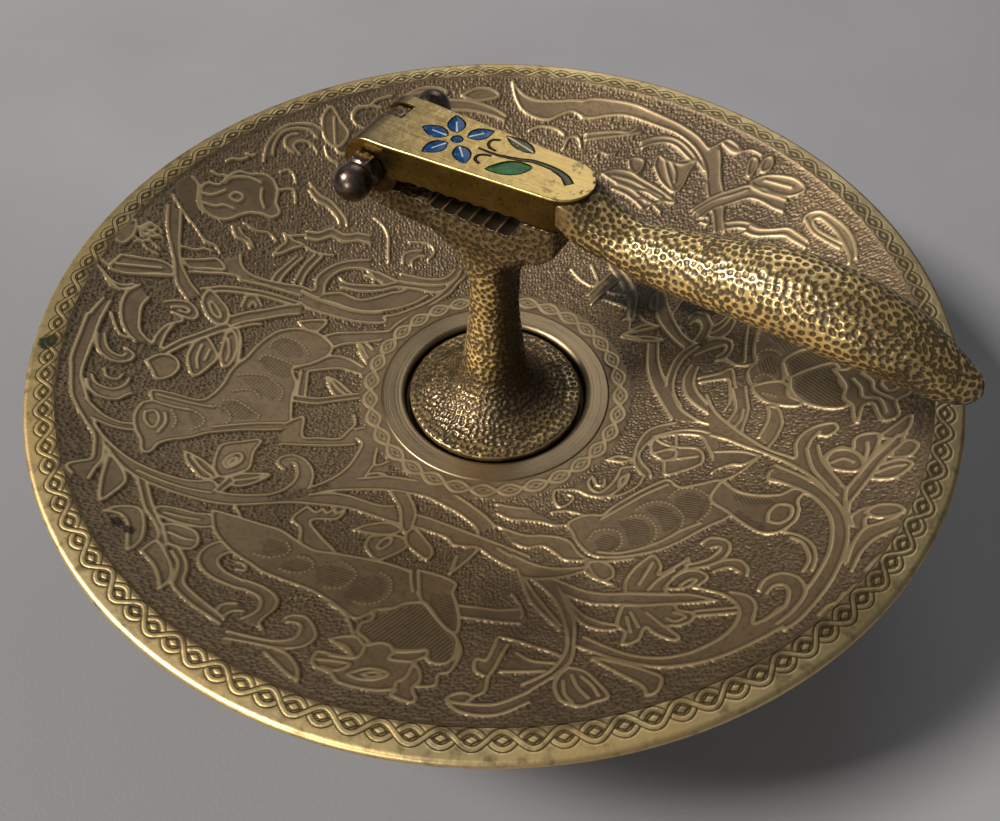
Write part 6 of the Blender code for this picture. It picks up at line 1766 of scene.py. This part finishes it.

# Enamel: coloured glass melted into cells in the block's top and rubbed level, a blue flower with a green
# leaf, a dark leaf and dark stems. A pale metal vein shows in each petal and in the dark leaf.
def enamel_material(name, low, high, vein_colour, vein_amount, rough):
    """Glassy enamel of a cloudy colour, with a pale vein where the mesh marks one."""
    material, node, feed, place = new_material(name)
    cloud = between(node, speckle(node, place, 420.0, 4.0), 0.3, 0.7)
    colour = blended(node, low, high, cloud)
    worn = between(node, speckle(node, place, 1600.0, 4.0), 0.62, 0.7, 0.0, 0.5)
    colour = blended(node, colour, vein_colour, worn)
    vein = between(node, attribute(node, "vein"), 0.3, 0.7, 0.0, vein_amount)
    edge = between(node, attribute(node, "edge"), 0.4, 0.9)
    colour = blended(node, colour, tuple(0.22 * c for c in low), edge)
    feed("Base Color", blended(node, colour, vein_colour, vein))
    feed("Roughness", rough)
    feed("Specular IOR Level", 0.16)
    feed("Normal", bump(node, speckle(node, place, 800.0), 0.25, 0.0001))
    return material


blue_enamel = enamel_material("blue_enamel", (0.003, 0.020, 0.062), (0.008, 0.056, 0.165),
                              (0.40, 0.42, 0.40), 0.95, 0.13)
green_enamel = enamel_material("green_enamel", (0.005, 0.034, 0.006), (0.018, 0.098, 0.018),
                               (0.12, 0.15, 0.05), 0.4, 0.14)
dark_enamel = enamel_material("dark_enamel", (0.028, 0.026, 0.012), (0.072, 0.064, 0.032),
                              (0.42, 0.38, 0.24), 0.85, 0.20)
enamel_dome = 0.00012
vein_half = 0.00022
edge_shade = 0.0004


def enamel_piece(name, right, left, vein_length, material, slot):
    """A domed ribbon between a right and a left edge, with a flat underside, as one closed surface."""
    across = np.linspace(-1, 1, 13)
    share = (across[None, :, None] + 1) / 2
    grid = right[:, None] * (1 - share) + left[:, None] * share
    span = np.linalg.norm(left - right, axis=1)
    dome = enamel_dome * np.minimum(1, span / 0.0012)[:, None] * across[None, :] ** 2
    top = np.dstack([grid, lug_radius - 0.00002 - dome])
    under = np.dstack([grid, np.full(dome.shape, lug_radius - enamel_depth + 0.00002)])[:, ::-1]
    ring = np.concatenate([top, under], axis=1)
    t = np.linspace(0, 1, len(ring))[:, None]
    from_middle = np.abs(across[None, :]) * span[:, None] / 2
    vein = np.clip(1.6 - from_middle / vein_half, 0, 1) * (t < vein_length) * (t > 0.04)
    vein = np.concatenate([vein, 0 * vein], axis=1)
    edge = np.clip(1.3 - (span[:, None] / 2 - from_middle) / edge_shade, 0, 1)
    edge = np.concatenate([edge, 0 * edge + 1], axis=1)
    points = ring.reshape(-1, 3) + (hinge_x, 0, hinge_z)
    return build(name + "_glass", points, tube_faces(*ring.shape[:2]), material, "lever_arm", name, slot,
                 {"vein": vein, "edge": edge})


def leaf_edges(base, tip, width, count=40):
    """Right and left edge of a pointed oval."""
    outline = leaf_outline(base, tip, width, 0, count)
    return outline[:count], np.vstack([outline[:1], outline[count:][::-1], outline[count - 1:count]])


leaf_looks = {"leaf_lower": (0.0, green_enamel, "enamel_green"),
              "leaf_upper": (0.95, dark_enamel, "enamel_dark")}
for name, leaf in leaves.items():
    enamel_piece(name, *leaf_edges(*leaf), *leaf_looks.get(name, (0.62, blue_enamel, "enamel_blue")))
for name, ribbon in ribbons.items():
    enamel_piece(name, *ribbon_edges(ribbon, 0), 0.0, dark_enamel, "enamel_dark")
turn = np.linspace(-pi / 2, pi / 2, 24)
right_edge = flower + centre_radius * np.column_stack([np.sin(turn), -np.cos(turn)])
left_edge = flower + centre_radius * np.column_stack([np.sin(turn), np.cos(turn)])
enamel_piece("flower_centre", right_edge, left_edge, 0.0, blue_enamel, "enamel_blue")

# Ball nuts on the ends of the hinge pin: turned bronze, blackened and handled to a gloss, each a ball on a
# six-sided collar.
nut_bronze, node, feed, place = new_material("nut_bronze")
cloud = between(node, speckle(node, place, 260.0, 5.0), 0.35, 0.68)
fleck = between(node, speckle(node, place, 1700.0, 4.0), 0.56, 0.66)
tone = blended(node, (0.052, 0.038, 0.028), (0.150, 0.108, 0.080), cloud)
feed("Base Color", blended(node, tone, (0.23, 0.17, 0.13), between(node, fleck, 0.0, 1.0, 0.0, 0.45)))
feed("Metallic", 0.9)
feed("Roughness", between(node, cloud, 0.0, 1.0, 0.19, 0.36))
feed("Normal", bump(node, speckle(node, place, 1200.0, 4.0), 0.4, 0.0001))

nut_seat = block_half_width + 0.0003
collar_flats = 0.0086
collar_length = 0.0043
ball_radius = 0.0047
ball_reach = 0.0070
cap_hole_depth = 0.0085


def ball_nut(name, side):
    """Rings along the nut's axis: its bore, the collar and the ball, each ring a circle or a hexagon.

    A collar ring's radius is half the flats over the cosine of the angle from the nearest flat, and no
    more than a cone allows, which chamfers the corners.
    """
    turn = np.linspace(-0.72, pi / 2, 30)
    ball_line = np.column_stack([ball_radius * np.cos(turn), ball_reach + ball_radius * np.sin(turn)])[:-1]
    collar_levels = np.array([0, 0.00025, 0.0007, 0.002, 0.0032, 0.0038, collar_length])
    cone = np.array([0.93, 1.0, 1.2, 1.2, 1.2, 1.0, 0.90]) * collar_flats / 2
    levels = np.concatenate([[cap_hole_depth, cap_hole_depth, 0], collar_levels, ball_line[:, 1]])
    limits = np.concatenate([[0.00001, pin_hole, pin_hole], cone, ball_line[:, 0]])
    order = slice(3, 3 + len(collar_levels))
    angle = np.linspace(0, 2 * pi, 96, endpoint=False)
    radius = np.repeat(limits[:, None], len(angle), axis=1)
    hexagon = collar_flats / 2 / np.cos(np.mod(angle, pi / 3) - pi / 6)
    radius[order] = np.minimum(radius[order], hexagon)
    along = side * (nut_seat + levels)[:, None] + 0 * radius
    grid = np.stack([hinge_x + radius * np.cos(angle), along, hinge_z + radius * np.sin(angle)], -1)
    tip = [[hinge_x, side * (nut_seat + ball_reach + ball_radius), hinge_z]]
    made = build(name + "_turned", np.vstack([grid.reshape(-1, 3), tip]),
                 tube_faces(*grid.shape[:2], pointed=True), nut_bronze, "lever_arm", name, "nut_bronze")
    made.data.set_sharp_from_angle(angle=radians(28))
    return made


ball_nut("ball_nut_front", -1)
ball_nut("ball_nut_back", 1)
